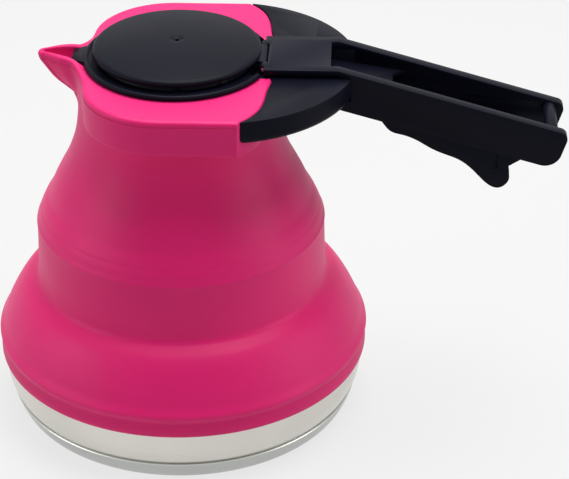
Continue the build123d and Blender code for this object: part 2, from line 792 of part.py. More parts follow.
# Handle collar: black crescent behind the rim and the hoop that holds the neck
with BuildPart() as handle_collar:
    with BuildSketch(Plane.XY.offset(collar_low_z)):
        with Locations((collar_x, 0)):
            Circle(collar_r)
        add(seam_side(), mode=Mode.INTERSECT)
    extrude(amount=rim_z - collar_low_z)
    low_edges = handle_collar.edges().filter_by_position(Axis.Z, collar_low_z, collar_low_z)
    fillet(low_edges.filter_by(GeomType.CIRCLE), collar_low_round)
    with BuildSketch(Plane.XY.offset(collar_low_z)):
        with Locations((collar_x, 0)):
            Circle(collar_r - collar_skirt_wall)
        add(seam_side(collar_skirt_wall), mode=Mode.INTERSECT)
        Circle(collar_core_r, mode=Mode.SUBTRACT)
    extrude(amount=rim_z - collar_low_z - collar_top_wall, mode=Mode.SUBTRACT)
    with BuildSketch(Plane.XY.offset(collar_low_z)):
        with Locations((collar_x, 0)):
            Circle(collar_r - collar_skirt_wall)
        with Locations((plate_rear_x - plate_wall, 0)):
            Rectangle(
                collar_r, (rail_gap_half + slot_wall) * 2,
                align=(Align.MIN, Align.CENTER), mode=Mode.INTERSECT,
            )
    extrude(amount=rim_z - collar_low_z)
    with BuildSketch(Plane.XY.offset(hoop_low_z)):
        Circle(hoop_r)
        with Locations((hoop_end_x, 0)):
            Rectangle(neck_r, hoop_r * 2 + cut_over, align=(Align.MAX, Align.CENTER), mode=Mode.SUBTRACT)
    extrude(amount=hoop_top_z - hoop_low_z)
    disc(hoop_in_r, hoop_low_z, tube_top_z + joint_gap, Mode.SUBTRACT)
    disc(mouth_r, hoop_low_z, rim_z, Mode.SUBTRACT)
    with BuildSketch(Plane.XY.offset(tube_top_z)):
        Circle(hoop_in_r)
        add(seam_side(), mode=Mode.SUBTRACT)
    extrude(amount=hoop_top_z - tube_top_z, mode=Mode.SUBTRACT)
    slot(0, plate_rear_x, link_slot_half, link_slot_z, rim_z)
    slot(arm_slot_front_x, collar_side_x, arm_slot_half, hoop_low_z, rim_z)
    slot(plate_rear_x - plate_wall, collar_side_x, rail_gap_half, hoop_low_z, rim_z)
    collar_screw_pair(screw_r, hoop_low_z, rim_z, Mode.SUBTRACT)
handle_collar.part.label = "handle_collar"
export_step(handle_collar.part, "parts/handle_collar.step")

# Handle frame: hinge plate, two rails and the sloping web between them
end_under_z = rail_line(rail_end_x, rail_depth * 2)
with BuildPart() as handle_frame:
    side_plate([
        (plate_front_r, plate_z), (rail_bend_x, plate_z), (rail_end_x, rail_line(rail_end_x, 0)),
        (rail_low_x, rail_line(rail_low_x, rail_depth)),
        (plate_rear_x, rail_line(plate_rear_x, rail_depth)), (plate_front_r, rim_z),
    ], plate_half)
    end_edges = handle_frame.edges().filter_by(Axis.Y).group_by(Axis.X)
    fillet(end_edges[-1], rail_top_round)
    end_edges = handle_frame.edges().filter_by(Axis.Y).filter_by_position(Axis.X, rod_x, rail_end_x)
    fillet(end_edges.group_by(Axis.Z)[0], rail_low_round)
    slot(plate_rear_x, rail_end_x + cut_over, rail_gap_half, end_under_z, plate_z + cut_over)
    with BuildSketch(Plane.XY.offset(collar_low_z)):
        with Locations((collar_x, 0)):
            Circle(collar_r)
    extrude(amount=rim_z - collar_low_z, mode=Mode.SUBTRACT)
    slot(0, plate_rear_x, plate_half + cut_over, end_under_z, collar_low_z)
    side_plate([
        (plate_rear_x - plate_wall, plate_z), (plate_rear_x, plate_z), (plate_rear_x, web_front_z),
        (web_end_x, web_front_z - web_drop), (web_end_x, web_front_z - web_drop - web_thick),
        (plate_rear_x - plate_wall, web_front_z - web_thick),
    ], rail_gap_half)
    web_edges = handle_frame.edges().filter_by(Axis.Z).filter_by_position(Axis.X, web_end_x, web_end_x)
    fillet(web_edges, web_round)
    cut_hinge_front()
    rod_between(hinge_x, hinge_z, knuckle_r, ear_half)
    side_plate([
        (hinge_x, hinge_z - knuckle_r), (hinge_x + knuckle_r * 2, hinge_z - knuckle_r),
        (hinge_x + knuckle_r * 2, hinge_z + knuckle_r), (hinge_x, hinge_z + knuckle_r),
    ], ear_half)
    ear_front_x, ear_rear_x = hinge_x - knuckle_r - ear_gap, hinge_x + knuckle_r + ear_gap
    slot(ear_front_x, ear_rear_x, lid_knuckle_half + ear_gap, rim_z, plate_z + cut_over)
    slot(hinge_x, hinge_x + link_slot_run, link_slot_half, rim_z, plate_under_z)
    cut_frame_undercut()
    cut_frame_bores()
handle_frame.part.label = "handle_frame"
export_step(handle_frame.part, "parts/handle_frame.step")

# Rod across the rear end of the handle
with BuildPart() as end_rod:
    rod_between(rod_x, rod_z, rod_r, rail_gap_half)
    rod_between(rod_x, rod_z, rod_spigot_r, rail_gap_half + rod_spigot)
end_rod.part.label = "end_rod"
export_step(end_rod.part, "parts/end_rod.step")

# Trigger pin, held in blind holes in the rails
with BuildPart() as trigger_pin:
    rod_between(pivot_x, pivot_z, pivot_pin_r, rail_gap_half + pivot_sink)
trigger_pin.part.label = "trigger_pin"
export_step(trigger_pin.part, "parts/trigger_pin.step")

# Screws that hold the handle collar to the plate
screw_seat_z = rim_z - collar_top_wall
with BuildPart() as collar_screws:
    collar_screw_pair(screw_r, screw_seat_z, plate_z - screw_tip_skin)
    collar_screw_pair(screw_head_r, screw_seat_z - screw_head, screw_seat_z)
collar_screws.part.label = "collar_screws"
export_step(collar_screws.part, "parts/collar_screws.step")

# Trigger lever: hollow grip below the rails and a crank arm that reaches under the plate
lever_low = from_pivot(lever_low_shares)
lever_top = from_pivot(lever_top_shares)
floor_low = [(x, z + lever_wall) for x, z in lever_low[2:-4]]
bar_low_z = pivot_z - crank_bar_low
bar_high_z = pivot_z + crank_bar_high
hollow_front_x = pivot_x - hub_r - cut_over
with BuildPart() as trigger_lever:
    with BuildSketch(Plane.XZ):
        with BuildLine():
            Spline(*lever_low[:lever_curve_count])
            Polyline(*lever_low[lever_curve_count - 1:], *lever_top, lever_low[0])
        make_face()
    extrude(amount=lever_half, both=True)
    rod_between(pivot_x, pivot_z, hub_r, lever_half)
    side_plate([
        *floor_low, (floor_low[-1][0], plate_z), (hollow_front_x, plate_z),
        (hollow_front_x, bar_low_z - hub_r),
    ], lever_half - lever_wall, Mode.SUBTRACT)
    rod_between(pivot_x, pivot_z, hub_r, arm_half)
    side_plate([
        (pivot_x, bar_low_z), (pivot_x, bar_high_z), (crank_x + crank_arm_wide / 2, bar_high_z),
        (crank_x + crank_eye_r, crank_z), (crank_x - crank_eye_r, crank_z),
        (crank_x - crank_arm_wide / 2, bar_high_z), (crank_x - crank_arm_wide / 2, bar_low_z),
    ], arm_half)
    rod_between(crank_x, crank_z, crank_eye_r, arm_half)
    side_plate([
        (pivot_x, pivot_z), (pivot_x, pivot_z - hub_r), lever_low[1], lever_low[2], floor_low[1],
        (pivot_x + hub_r, pivot_z),
    ], arm_half)
    fork_half_x = crank_arm_wide
    fork_half_z = crank_eye_r + link_high
    side_plate([
        (crank_x - fork_half_x, crank_z - fork_half_z), (crank_x + fork_half_x, crank_z - fork_half_z),
        (crank_x + fork_half_x, crank_z + fork_half_z), (crank_x - fork_half_x, crank_z + fork_half_z),
    ], link_half + link_side_gap, Mode.SUBTRACT)
    rod_between(pivot_x, pivot_z, pivot_pin_r + pin_fit, lever_half, Mode.SUBTRACT)
    rod_between(crank_x, crank_z, link_pin_r, arm_half, Mode.SUBTRACT)
    groove_x = pivot_x + lever_groove_share * lever_run
    groove_z = pivot_z - lever_groove_low_share * lever_run
    for side in (-1, 1):
        with BuildSketch(Plane.XZ.offset(side * lever_half)):
            with Locations((groove_x, groove_z)):
                Rectangle(lever_groove_wide, rail_depth, align=(Align.CENTER, Align.MIN))
        extrude(amount=-side * lever_groove_deep, mode=Mode.SUBTRACT)
trigger_lever.part.label = "trigger_lever"
export_step(trigger_lever.part, "parts/trigger_lever.step")

# Pin at the rear of the link
with BuildPart() as link_pin_rear:
    rod_between(crank_x, crank_z, link_pin_r, arm_half)
link_pin_rear.part.label = "link_pin_rear"
export_step(link_pin_rear.part, "parts/link_pin_rear.step")

# Pin at the front of the link
with BuildPart() as link_pin_front:
    rod_between(crank_pin_x, crank_pin_z, link_pin_r, finger_half)
link_pin_front.part.label = "link_pin_front"
export_step(link_pin_front.part, "parts/link_pin_front.step")

# Push link between the trigger's crank and the lid
with BuildPart() as lid_link:
    rod_between(crank_x, crank_z, crank_eye_r, link_half)
    rod_between(crank_pin_x, crank_pin_z, link_front_eye_r, link_half)
    side_plate([
        (crank_pin_x, crank_pin_z + link_high / 2), (crank_x, crank_z + link_high / 2),
        (crank_x, crank_z - link_high / 2), (crank_pin_x, crank_pin_z - link_high / 2),
    ], link_half)
    rod_between(crank_x, crank_z, link_pin_r + pin_fit, link_half, Mode.SUBTRACT)
    rod_between(crank_pin_x, crank_pin_z, link_pin_r + link_slack, link_half, Mode.SUBTRACT)
lid_link.part.label = "lid_link"
export_step(lid_link.part, "parts/lid_link.step")

# Trigger spring, between the lever's floor and the web
spring_top_z = web_front_z - (spring_x - plate_rear_x + spring_r) * web_fall - web_thick - spring_wire_r
spring_low_z = spring_seat_z + spring_wire_r
spring_steps = int(spring_turns * spring_steps_per_turn)
spring_points = []
for step in range(spring_steps + 1):
    turn = 2 * math.pi * step / spring_steps_per_turn
    point_z = spring_low_z + (spring_top_z - spring_low_z) * step / spring_steps
    spring_points.append((spring_x + spring_r * math.cos(turn), spring_r * math.sin(turn), point_z))
with BuildPart() as trigger_spring:
    with BuildLine():
        coil = Spline(*spring_points)
    with BuildSketch(Plane(coil @ 0, z_dir=coil % 0)):
        Circle(spring_wire_r)
    sweep(path=coil)
trigger_spring.part.label = "trigger_spring"
export_step(trigger_spring.part, "parts/trigger_spring.step")

# Lid hinge pins, one on each side of the finger
with BuildPart() as lid_hinge_pins:
    rod_between(hinge_x, hinge_z, hinge_pin_r, ear_half)
    rod_between(hinge_x, hinge_z, knuckle_r, finger_half + link_side_gap, Mode.SUBTRACT)
lid_hinge_pins.part.label = "lid_hinge_pins"
export_step(lid_hinge_pins.part, "parts/lid_hinge_pins.step")

# Lid base: flange with a bead and a tab over the spout, plug, core, knuckle and finger
plug_in_r = plug_low_r - plug_wall
core_in_r = lid_core_r - lid_floor
core_floor_z = lid_floor_z + lid_floor
with BuildPart() as lid_base:
    turned_ring([
        (0, lid_floor_z), (plug_in_r, lid_floor_z), (plug_in_r, plug_low_z), (plug_low_r, plug_low_z),
        (plug_r, lid_low_z), (lid_r - bead_r, lid_low_z), (lid_r - bead_r, flange_top_z),
        (lid_core_r, flange_top_z), (lid_core_r, lid_cap_z), (core_in_r, lid_cap_z),
        (core_in_r, core_floor_z), (0, core_floor_z),
    ])
    with BuildSketch(Plane.XZ):
        with Locations((lid_r - bead_r, lid_low_z + bead_r)):
            Circle(bead_r)
    revolve(axis=Axis.Z)
    turned_ring([
        (plug_r, seal_low_z), (seal_groove_r, seal_low_z), (seal_groove_r, seal_low_z + seal_high),
        (plug_r, seal_low_z + seal_high),
    ], Mode.SUBTRACT)
    with BuildSketch(Plane.XY.offset(lid_low_z)):
        with BuildLine():
            Polyline(
                (tab_root_x, tab_root_half), (tab_tip_x, tab_tip_half), (tab_tip_x, -tab_tip_half),
                (tab_root_x, -tab_root_half), close=True,
            )
        make_face()
    extrude(amount=flange_thick)
    tip_edges = lid_base.edges().filter_by(Axis.Z).filter_by_position(Axis.X, tab_tip_x, tab_tip_x)
    fillet(tip_edges, tab_round)
    with BuildSketch(Plane.XY.offset(lid_low_z)):
        with Locations((0, 0)):
            Rectangle(lid_r, lid_back_half * 2, align=(Align.MIN, Align.CENTER))
        Circle(lid_back_r, mode=Mode.SUBTRACT)
    extrude(amount=flange_thick + bead_r, mode=Mode.SUBTRACT)
    add_lid_knuckle()
    add_lid_finger()
    lid_screw_ring(lid_boss_r, core_floor_z, lid_cap_z)
    lid_screw_ring(screw_r, lid_floor_z, lid_cap_z, Mode.SUBTRACT)
lid_base.part.label = "lid_base"
export_step(lid_base.part, "parts/lid_base.step")

# Lid cap: domed disc with a steam vent
with BuildPart() as lid_cap:
    with BuildSketch(Plane.XZ) as dome:
        with BuildLine():
            Polyline((0, cap_top_z), (0, lid_cap_z), (cap_r, lid_cap_z), (cap_r, cap_rim_z))
            ThreePointArc((cap_r, cap_rim_z), (cap_r / 2, cap_middle_z), (0, cap_top_z))
        make_face()
        fillet(dome.vertices().group_by(Axis.X)[-1], cap_round)
    revolve(axis=Axis.Z)
    disc(vent_dimple_r, cap_top_z - vent_dimple, cap_top_z + cut_over, Mode.SUBTRACT)
    disc(vent_r, lid_cap_z, cap_top_z, Mode.SUBTRACT)
    lid_screw_ring(screw_r, lid_cap_z, cap_rim_z, Mode.SUBTRACT)
lid_cap.part.label = "lid_cap"
export_step(lid_cap.part, "parts/lid_cap.step")

# Lid screws, driven from below
with BuildPart() as lid_screws:
    lid_screw_ring(screw_r, lid_floor_z, cap_rim_z)
    lid_screw_ring(screw_head_r, lid_floor_z - screw_head, lid_floor_z)
lid_screws.part.label = "lid_screws"
export_step(lid_screws.part, "parts/lid_screws.step")

# Lid seal
with BuildPart() as lid_seal:
    turned_ring([
        (plug_r - seal_depth, seal_low_z), (plug_r + seal_out, seal_low_z + seal_high / 2),
        (plug_r - seal_depth, seal_low_z + seal_high),
    ])
lid_seal.part.label = "lid_seal"
export_step(lid_seal.part, "parts/lid_seal.step")
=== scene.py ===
"""Collapsible kettle: the visual pieces, finishes and stage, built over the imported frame."""

import math

import bmesh
import bpy
import numpy as np
from bpy.props import FloatProperty, FloatVectorProperty, IntProperty, PointerProperty
from bpy.types import Operator, Panel, PropertyGroup
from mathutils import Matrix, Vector


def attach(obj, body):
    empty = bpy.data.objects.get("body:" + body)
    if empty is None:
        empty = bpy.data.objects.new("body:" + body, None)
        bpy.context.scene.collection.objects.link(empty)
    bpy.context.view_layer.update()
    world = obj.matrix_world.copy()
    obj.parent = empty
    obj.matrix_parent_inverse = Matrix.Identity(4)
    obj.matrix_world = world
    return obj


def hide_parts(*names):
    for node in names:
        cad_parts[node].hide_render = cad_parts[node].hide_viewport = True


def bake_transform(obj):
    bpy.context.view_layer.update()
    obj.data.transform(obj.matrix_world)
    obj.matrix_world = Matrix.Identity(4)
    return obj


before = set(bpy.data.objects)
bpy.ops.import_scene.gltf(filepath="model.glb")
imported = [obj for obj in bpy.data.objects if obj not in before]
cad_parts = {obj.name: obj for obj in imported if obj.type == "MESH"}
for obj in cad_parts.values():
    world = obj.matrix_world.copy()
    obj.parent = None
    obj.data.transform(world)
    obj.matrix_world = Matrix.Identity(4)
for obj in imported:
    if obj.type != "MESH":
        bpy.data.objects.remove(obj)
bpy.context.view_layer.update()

bl_info = {
    "name": "Collapsible kettle",
    "version": (1, 0, 0),
    "blender": (4, 5, 0),
    "location": "View3D > Sidebar > Kettle",
    "description": "Builds the silicone body, steel base, handle, lid and stage over the packed frame",
    "category": "Add Mesh",
}

MM = 0.001

# Mesh work: the distance in metres at which two points are one, and angles in degrees
SAME_POINT = 2e-6
FLAT_ANGLE = 0.6
BEVEL_ANGLE = 40.0
BEVEL_STEPS = 2
CREASE = 32.0
NODE_CREASE = 35.0
RIM_CREASE = 38.0

# Steel pan and base plate, (radius, height) in millimetres
PAN_SIDE = [(64.0, 5.0), (68.9, 6.44), (72.5, 10.1), (74.4, 14.0), (75.4, 17.8), (75.6, 21.0)]
PAN_R = 75.6
PAN_RIM_Z = 28.6
PAN_WALL = 0.8
PAN_FLOOR_Z = 5.0
PAN_FLOOR_R = 60.0
PAN_INSIDE_R = 63.8
PLATE_UNDER = [(0.0, 0.0), (20.0, 0.0), (40.0, 0.0), (64.9, 0.0), (65.6, 0.03), (66.05, 0.16)]
PLATE_SIDE = [(66.0, 0.0), (69.73, 2.16), (71.88, 5.88), (73.17, 9.8)]
PLATE_TOP = [
    (73.2, 9.45), (73.0, 9.72), (72.6, 9.86), (72.25, 9.82), (66.0, 6.2), (60.0, 5.0), (0.0, 5.0),
]

# Silicone outlines, (radius, height) in millimetres
LIP_SIDE = [
    (75.65, 25.8), (76.53, 25.8), (77.27, 26.62), (77.4, 28.55), (76.86, 31.2), (76.78, 32.63),
    (77.5, 34.16), (77.76, 35.18), (77.6, 36.0),
]
LOWER_FOLD_SIDE = [
    (77.6, 36.0), (75.9, 39.0), (74.3, 43.0), (71.8, 48.0), (69.1, 52.5), (66.0, 56.3), (62.6, 58.8),
    (61.2, 59.9), (60.35, 61.4), (60.1, 63.6),
]
MIDDLE_SIDE = [(60.1, 63.6), (59.9, 70.0), (59.7, 78.0), (59.6, 84.6), (59.75, 85.7), (59.6, 86.5)]
LEDGE_Z = 86.9
LEDGE_R = 59.35
MIDDLE_INSIDE = [(56.2, LEDGE_Z), (56.4, 84.0), (56.6, 74.0), (56.8, 64.5)]
LIP_INSIDE = [(73.9, 37.6), (74.0, 36.0), (73.2, 32.5), (72.35, 30.4)]
LIP_HOOK = [(72.35, 21.0), (74.75, 21.0), (74.75, 28.65), (75.65, 28.65)]
UPPER_SIDE = [
    (LEDGE_R, LEDGE_Z), (58.9, 87.9), (58.5, 89.2), (57.9, 90.8), (57.25, 92.0), (56.9, 93.0),
    (56.35, 94.1), (55.5, 95.6), (54.0, 98.0), (51.8, 103.0), (49.3, 108.0), (46.2, 114.0),
    (43.5, 121.0), (41.9, 126.9), (41.0, 133.0), (40.6, 137.8), (40.6, 142.0), (40.6, 150.0),
]
FOLD_WALL = 2.2
NECK_WALL = 2.6

# Rim and mouth in millimetres
RIM_LOW = 142.0
RIM_TOP = 157.0
RIM_FRONT = -36.0
RIM_BACK = 78.0
RIM_HALF = 54.5
RIM_CORNER = 32.0
RIM_REACH = 140.0
LOW_ROUND = 0.8
TOP_ROUND = 1.6
MOUTH_ROUND = 0.8
MOUTH_R = 33.4
TUBE_R = 37.6
TUBE_TOP = 153.4
OUTER_BLEND = 3.0
CHANNEL_BLEND = 1.2

# Spout and its channel in millimetres. A level is (height, share of the length, share of
# the width), and a width is (share of the length, half width)
SPOUT_ROOT = -33.0
SPOUT_TIP = -57.4
SPOUT_LEVELS = [
    (137.0, 0.26, 0.95), (142.6, 0.395, 0.95), (148.7, 0.697, 0.9), (156.8, 0.926, 0.95),
    (163.5, 1.0, 1.0),
]
SPOUT_WIDTHS = [(0.0, 22.5), (0.19, 14.0), (0.35, 9.2), (0.615, 6.4)]
SPOUT_TIP_ROUND = 2.6
CHANNEL_ROOT = -29.0
CHANNEL_TIP = -54.6
CHANNEL_LEVELS = [
    (146.0, 0.3, 0.35), (147.4, 0.5, 0.4), (152.0, 0.78, 0.7), (157.0, 0.955, 0.95),
    (164.5, 1.0, 1.0),
]
CHANNEL_WIDTHS = [(0.0, 14.0), (0.215, 10.4), (0.35, 8.0), (0.51, 5.6), (0.7, 4.0)]
CHANNEL_TIP_ROUND = 1.4
LIP_RISE = [(-36.0, 0.0), (-38.1, 0.95), (-42.0, 2.58), (-46.1, 3.15), (-50.5, 3.4), (-58.7, 3.27)]

# Rows and columns of the rim's mesh, with heights in millimetres. The near columns lie
# within the spout's angle in degrees, and the shares run across or down a surface
SPOUT_ANGLE = 24
ANGLE_STEPS = (700, 900)
TABLE_HEIGHTS = (136, 166, 121)
NEAR_POINTS = 64
FAR_POINTS = 110
NECK_TURNED_Z = 136.5
SPOUT_FOOT_Z = (137.0, 140.9)
UNDER_RIM = [
    (0.0, 141.35), (0.012, 141.65), (0.04, 141.85), (0.1, 141.95), (0.5, 141.98), (0.92, 141.99),
]
WALL_SHARES = (0.03, 0.15, 0.3, 0.45, 0.6, 0.75, 0.86)
MOUTH_SHARES = (0.0, 0.05, 0.35, 0.65, 0.95, 1.0)
FLAT_SHARES = (0.05, 0.35, 0.65, 0.95)
MOUTH_LOW = TUBE_TOP + 0.05
TUBE_LEVELS = (153.35, 153.2, 151.5, 150.0, 148.5, 147.2, 146.2, 144.5, 142.0, 139.0)
NECK_INSIDE_Z = 137.5
NECK_INSIDE_TOP = 138.0

# Groove below the rim's top edge, (drop, depth) in millimetres
TOP_LINE = [(2.75, 0.0), (2.5, 0.28), (2.1, 0.28), (1.85, 0.0)]

# Seam between the rim and the collar, (x, y), and its (gap, height) levels, in millimetres
SEAM = [
    (25.8, 55.4), (29.6, 51.6), (32.0, 48.4), (34.0, 44.6), (35.2, 41.0), (36.1, 37.0),
    (36.7, 32.5), (37.0, 28.5), (37.6, 24.0), (38.4, 19.5), (38.6, 16.0),
]
SEAM_LEVELS = [(0.12, 140.0), (0.12, 155.9), (0.35, 156.5), (0.95, 157.05), (0.95, 172.0)]
SEAM_INNER_X = 18.0
SEAM_FAR_X = 110.0
SEAM_FAR_Y = 90.0
NECK_KEPT = [(0.0, 130.0), (40.62, 130.0), (40.62, 150.2), (0.0, 150.2)]

# Lid cap in millimetres
CAP_R = 33.8
CAP_LOW = 161.2
CAP_RIM = 1.9
CAP_CROWN = 4.9
CAP_EDGE = 0.9
CAP_EASE = 0.25
CAP_CURVE = 2.2
CAP_RINGS = 24
CAP_CORE_R = 20.0
VENT_R = 0.9
DIMPLE_R = 3.0
LID_EDGE_ROUND = 0.3

# Stage: each lamp's place, target, width and height in metres, and the camera's dip and
# turn in degrees
FLOOR_HALF_MM = 6000.0
OVERHEAD_LAMP = ((0.1, 0.12, 1.0), (0.0, 0.0, 0.1), 0.9, 0.7)
SIDE_LAMP = ((-1.0, -0.35, 0.45), (0.0, 0.0, 0.08), 0.6, 0.7)
FAR_SIDE_LAMP = ((1.05, -0.25, 0.4), (0.0, 0.0, 0.08), 0.5, 0.7)
CAMERA_PLACE = (0.0738, -0.882, 0.595)
CAMERA_DIP = 30.56
CAMERA_TURN = 2.0

# Socket kinds, the colour sockets of a Mix node, and plain colours
FLOAT = "NodeSocketFloat"
COLOUR = "NodeSocketColor"
MIX_FIRST = 6
MIX_SECOND = 7
MIX_RESULT = 2
GREY = (0.5, 0.5, 0.5, 1.0)
WHITE = (1.0, 1.0, 1.0, 1.0)


def smooth_line(points, steps):
    """Points of a smooth curve through the given points."""
    pts = np.array(points, float)
    ends = np.vstack([2 * pts[0] - pts[1], pts, 2 * pts[-1] - pts[-2]])
    line = []
    for i in range(len(pts) - 1):
        before, start, end, after = ends[i:i + 4]
        for k in range(steps):
            t = k / steps
            line.append(0.5 * (
                2 * start + (end - before) * t + (2 * before - 5 * start + 4 * end - after) * t ** 2
                + (3 * start - before - 3 * end + after) * t ** 3
            ))
    line.append(pts[-1])
    return [tuple(p) for p in line]


def directions(points):
    """Unit directions along a line, at each of its points."""
    along = np.gradient(points, axis=0)
    return along / np.linalg.norm(along, axis=1)[:, None]


def inner_line(outline, wall):
    """Points one wall inside an upward outline of (radius, height)."""
    pts = np.array(outline, float)
    return [(r - wall * t[1], z + wall * t[0]) for (r, z), t in zip(pts, directions(pts))]


def new_piece(name, verts, faces, sharp=CREASE):
    """Finished mesh object from points in millimetres."""
    mesh = bpy.data.meshes.new(name)
    mesh.from_pydata([(x * MM, y * MM, z * MM) for x, y, z in verts], [], faces)
    piece = bpy.data.objects.new(name, mesh)
    bpy.context.scene.collection.objects.link(piece)
    finish_mesh(mesh, sharp)
    return piece


def finish_mesh(mesh, sharp):
    """Merges doubled points, turns the faces outwards and shades smooth up to a crease angle."""
    work = bmesh.new()
    work.from_mesh(mesh)
    bmesh.ops.remove_doubles(work, verts=work.verts, dist=SAME_POINT)
    bmesh.ops.recalc_face_normals(work, faces=work.faces)
    work.to_mesh(mesh)
    work.free()
    mesh.shade_smooth()
    mesh.set_sharp_from_angle(angle=math.radians(sharp))


def bake(piece):
    """Applies a piece's modifiers to its mesh."""
    bpy.context.view_layer.update()
    evaluated = piece.evaluated_get(bpy.context.evaluated_depsgraph_get())
    mesh = bpy.data.meshes.new_from_object(evaluated)
    mesh.name = piece.name
    piece.modifiers.clear()
    piece.data = mesh


def turned(name, outline, turns=240, sharp=CREASE):
    """Solid turned about the upright axis from a closed outline of (radius, height) points."""
    count = len(outline)
    verts = [
        (r * math.cos(math.tau * k / turns), r * math.sin(math.tau * k / turns), z)
        for k in range(turns) for r, z in outline
    ]
    faces = []
    for k in range(turns):
        here, there = k * count, (k + 1) % turns * count
        for i in range(count):
            side = (i + 1) % count
            faces.append((here + i, there + i, there + side, here + side))
    return new_piece(name, verts, faces, sharp)


def softened(node, name, width):
    """Copy of a CAD node with its hard edges rounded, which then stands for the node."""
    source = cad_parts[node]
    piece = bpy.data.objects.new(name, source.data.copy())
    bpy.context.scene.collection.objects.link(piece)
    piece.matrix_world = source.matrix_world.copy()
    work = bmesh.new()
    work.from_mesh(piece.data)
    bmesh.ops.remove_doubles(work, verts=work.verts, dist=SAME_POINT)
    bmesh.ops.dissolve_limit(
        work, angle_limit=math.radians(FLAT_ANGLE), verts=work.verts, edges=work.edges)
    work.to_mesh(piece.data)
    work.free()
    bevel = piece.modifiers.new("Rounded edges", "BEVEL")
    bevel.width = width * MM
    bevel.segments = BEVEL_STEPS
    bevel.limit_method = "ANGLE"
    bevel.angle_limit = math.radians(BEVEL_ANGLE)
    bake(piece)
    finish_mesh(piece.data, NODE_CREASE)
    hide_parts(node)
    return piece


def paint(piece, material):
    """Gives the whole piece one finish."""
    piece.data.materials.clear()
    piece.data.materials.append(material)
    for face in piece.data.polygons:
        face.material_index = 0


def finish_piece(piece, body, material):
    """Puts a new piece on its body, with its finish."""
    paint(piece, material)
    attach(piece, body)


def paint_node(name, material):
    """Gives a CAD node its finish without changing its shape."""
    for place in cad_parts[name].material_slots:
        place.material = material


# Rim and spout

def smooth_max(a, b, blend):
    """Greater of two values, rounded where they are within a blend distance."""
    share = np.clip(1 - np.abs(a - b) / blend, 0, 1)
    return np.maximum(a, b) + share ** 2 * blend / 4


def prow_table(root, tip, levels, widths, tip_round, heights, angles):
    """Distance from the axis to a pointed outline, for each height and angle from the spout."""
    shares, halves = np.array(smooth_line(widths, 12)).T
    level_z, runs, spreads = np.array(levels).T
    gap = np.linspace(0, 1, 8)[1:-1]
    bend = np.linspace(0, math.pi / 2, 12)
    table = np.zeros((len(heights), len(angles)))
    for row, z in enumerate(heights):
        if z < level_z[0]:
            continue
        spread = np.interp(z, level_z, spreads)
        end = root + np.interp(z, level_z, runs) * (tip - root)
        round_r = tip_round * spread
        start = end + round_r
        x = root + shares * (end - root)
        y = halves * spread
        keep = x > start
        x, y = x[keep], y[keep]
        last_x, last_y = x[-1], y[-1]
        x = np.concatenate([x, last_x + (start - last_x) * gap, start - round_r * np.sin(bend)])
        y = np.concatenate([y, last_y + (round_r - last_y) * gap, round_r * np.cos(bend)])
        turn = np.arctan2(y, -x)[::-1]
        table[row] = np.interp(angles, turn, np.hypot(x, y)[::-1], right=0)
    return table


def from_table(table, heights, angles, z):
    """Value at each angle for that angle's own height."""
    place = np.clip((z - heights[0]) / (heights[1] - heights[0]), 0, len(heights) - 1.001)
    low = place.astype(int)
    part = place - low
    column = np.arange(len(angles))
    return table[low, column] * (1 - part) + table[low + 1, column] * part


def rim_radius(angles, inset):
    """Distance from the axis to the rounded rim outline, moved in by an inset."""
    centre_x = (RIM_FRONT + RIM_BACK) / 2
    half_x = (RIM_BACK - RIM_FRONT) / 2 - inset
    half_y = RIM_HALF - inset
    corner = RIM_CORNER - inset
    low, high = np.zeros_like(angles), np.full_like(angles, RIM_REACH)
    for _ in range(40):
        middle = (low + high) / 2
        x = np.abs(-middle * np.cos(angles) - centre_x) - half_x + corner
        y = np.abs(middle * np.sin(angles)) - half_y + corner
        from_corner = np.hypot(np.maximum(x, 0), np.maximum(y, 0))
        beyond = from_corner + np.minimum(np.maximum(x, y), 0) - corner > 0
        high = np.where(beyond, middle, high)
        low = np.where(beyond, low, middle)
    return low


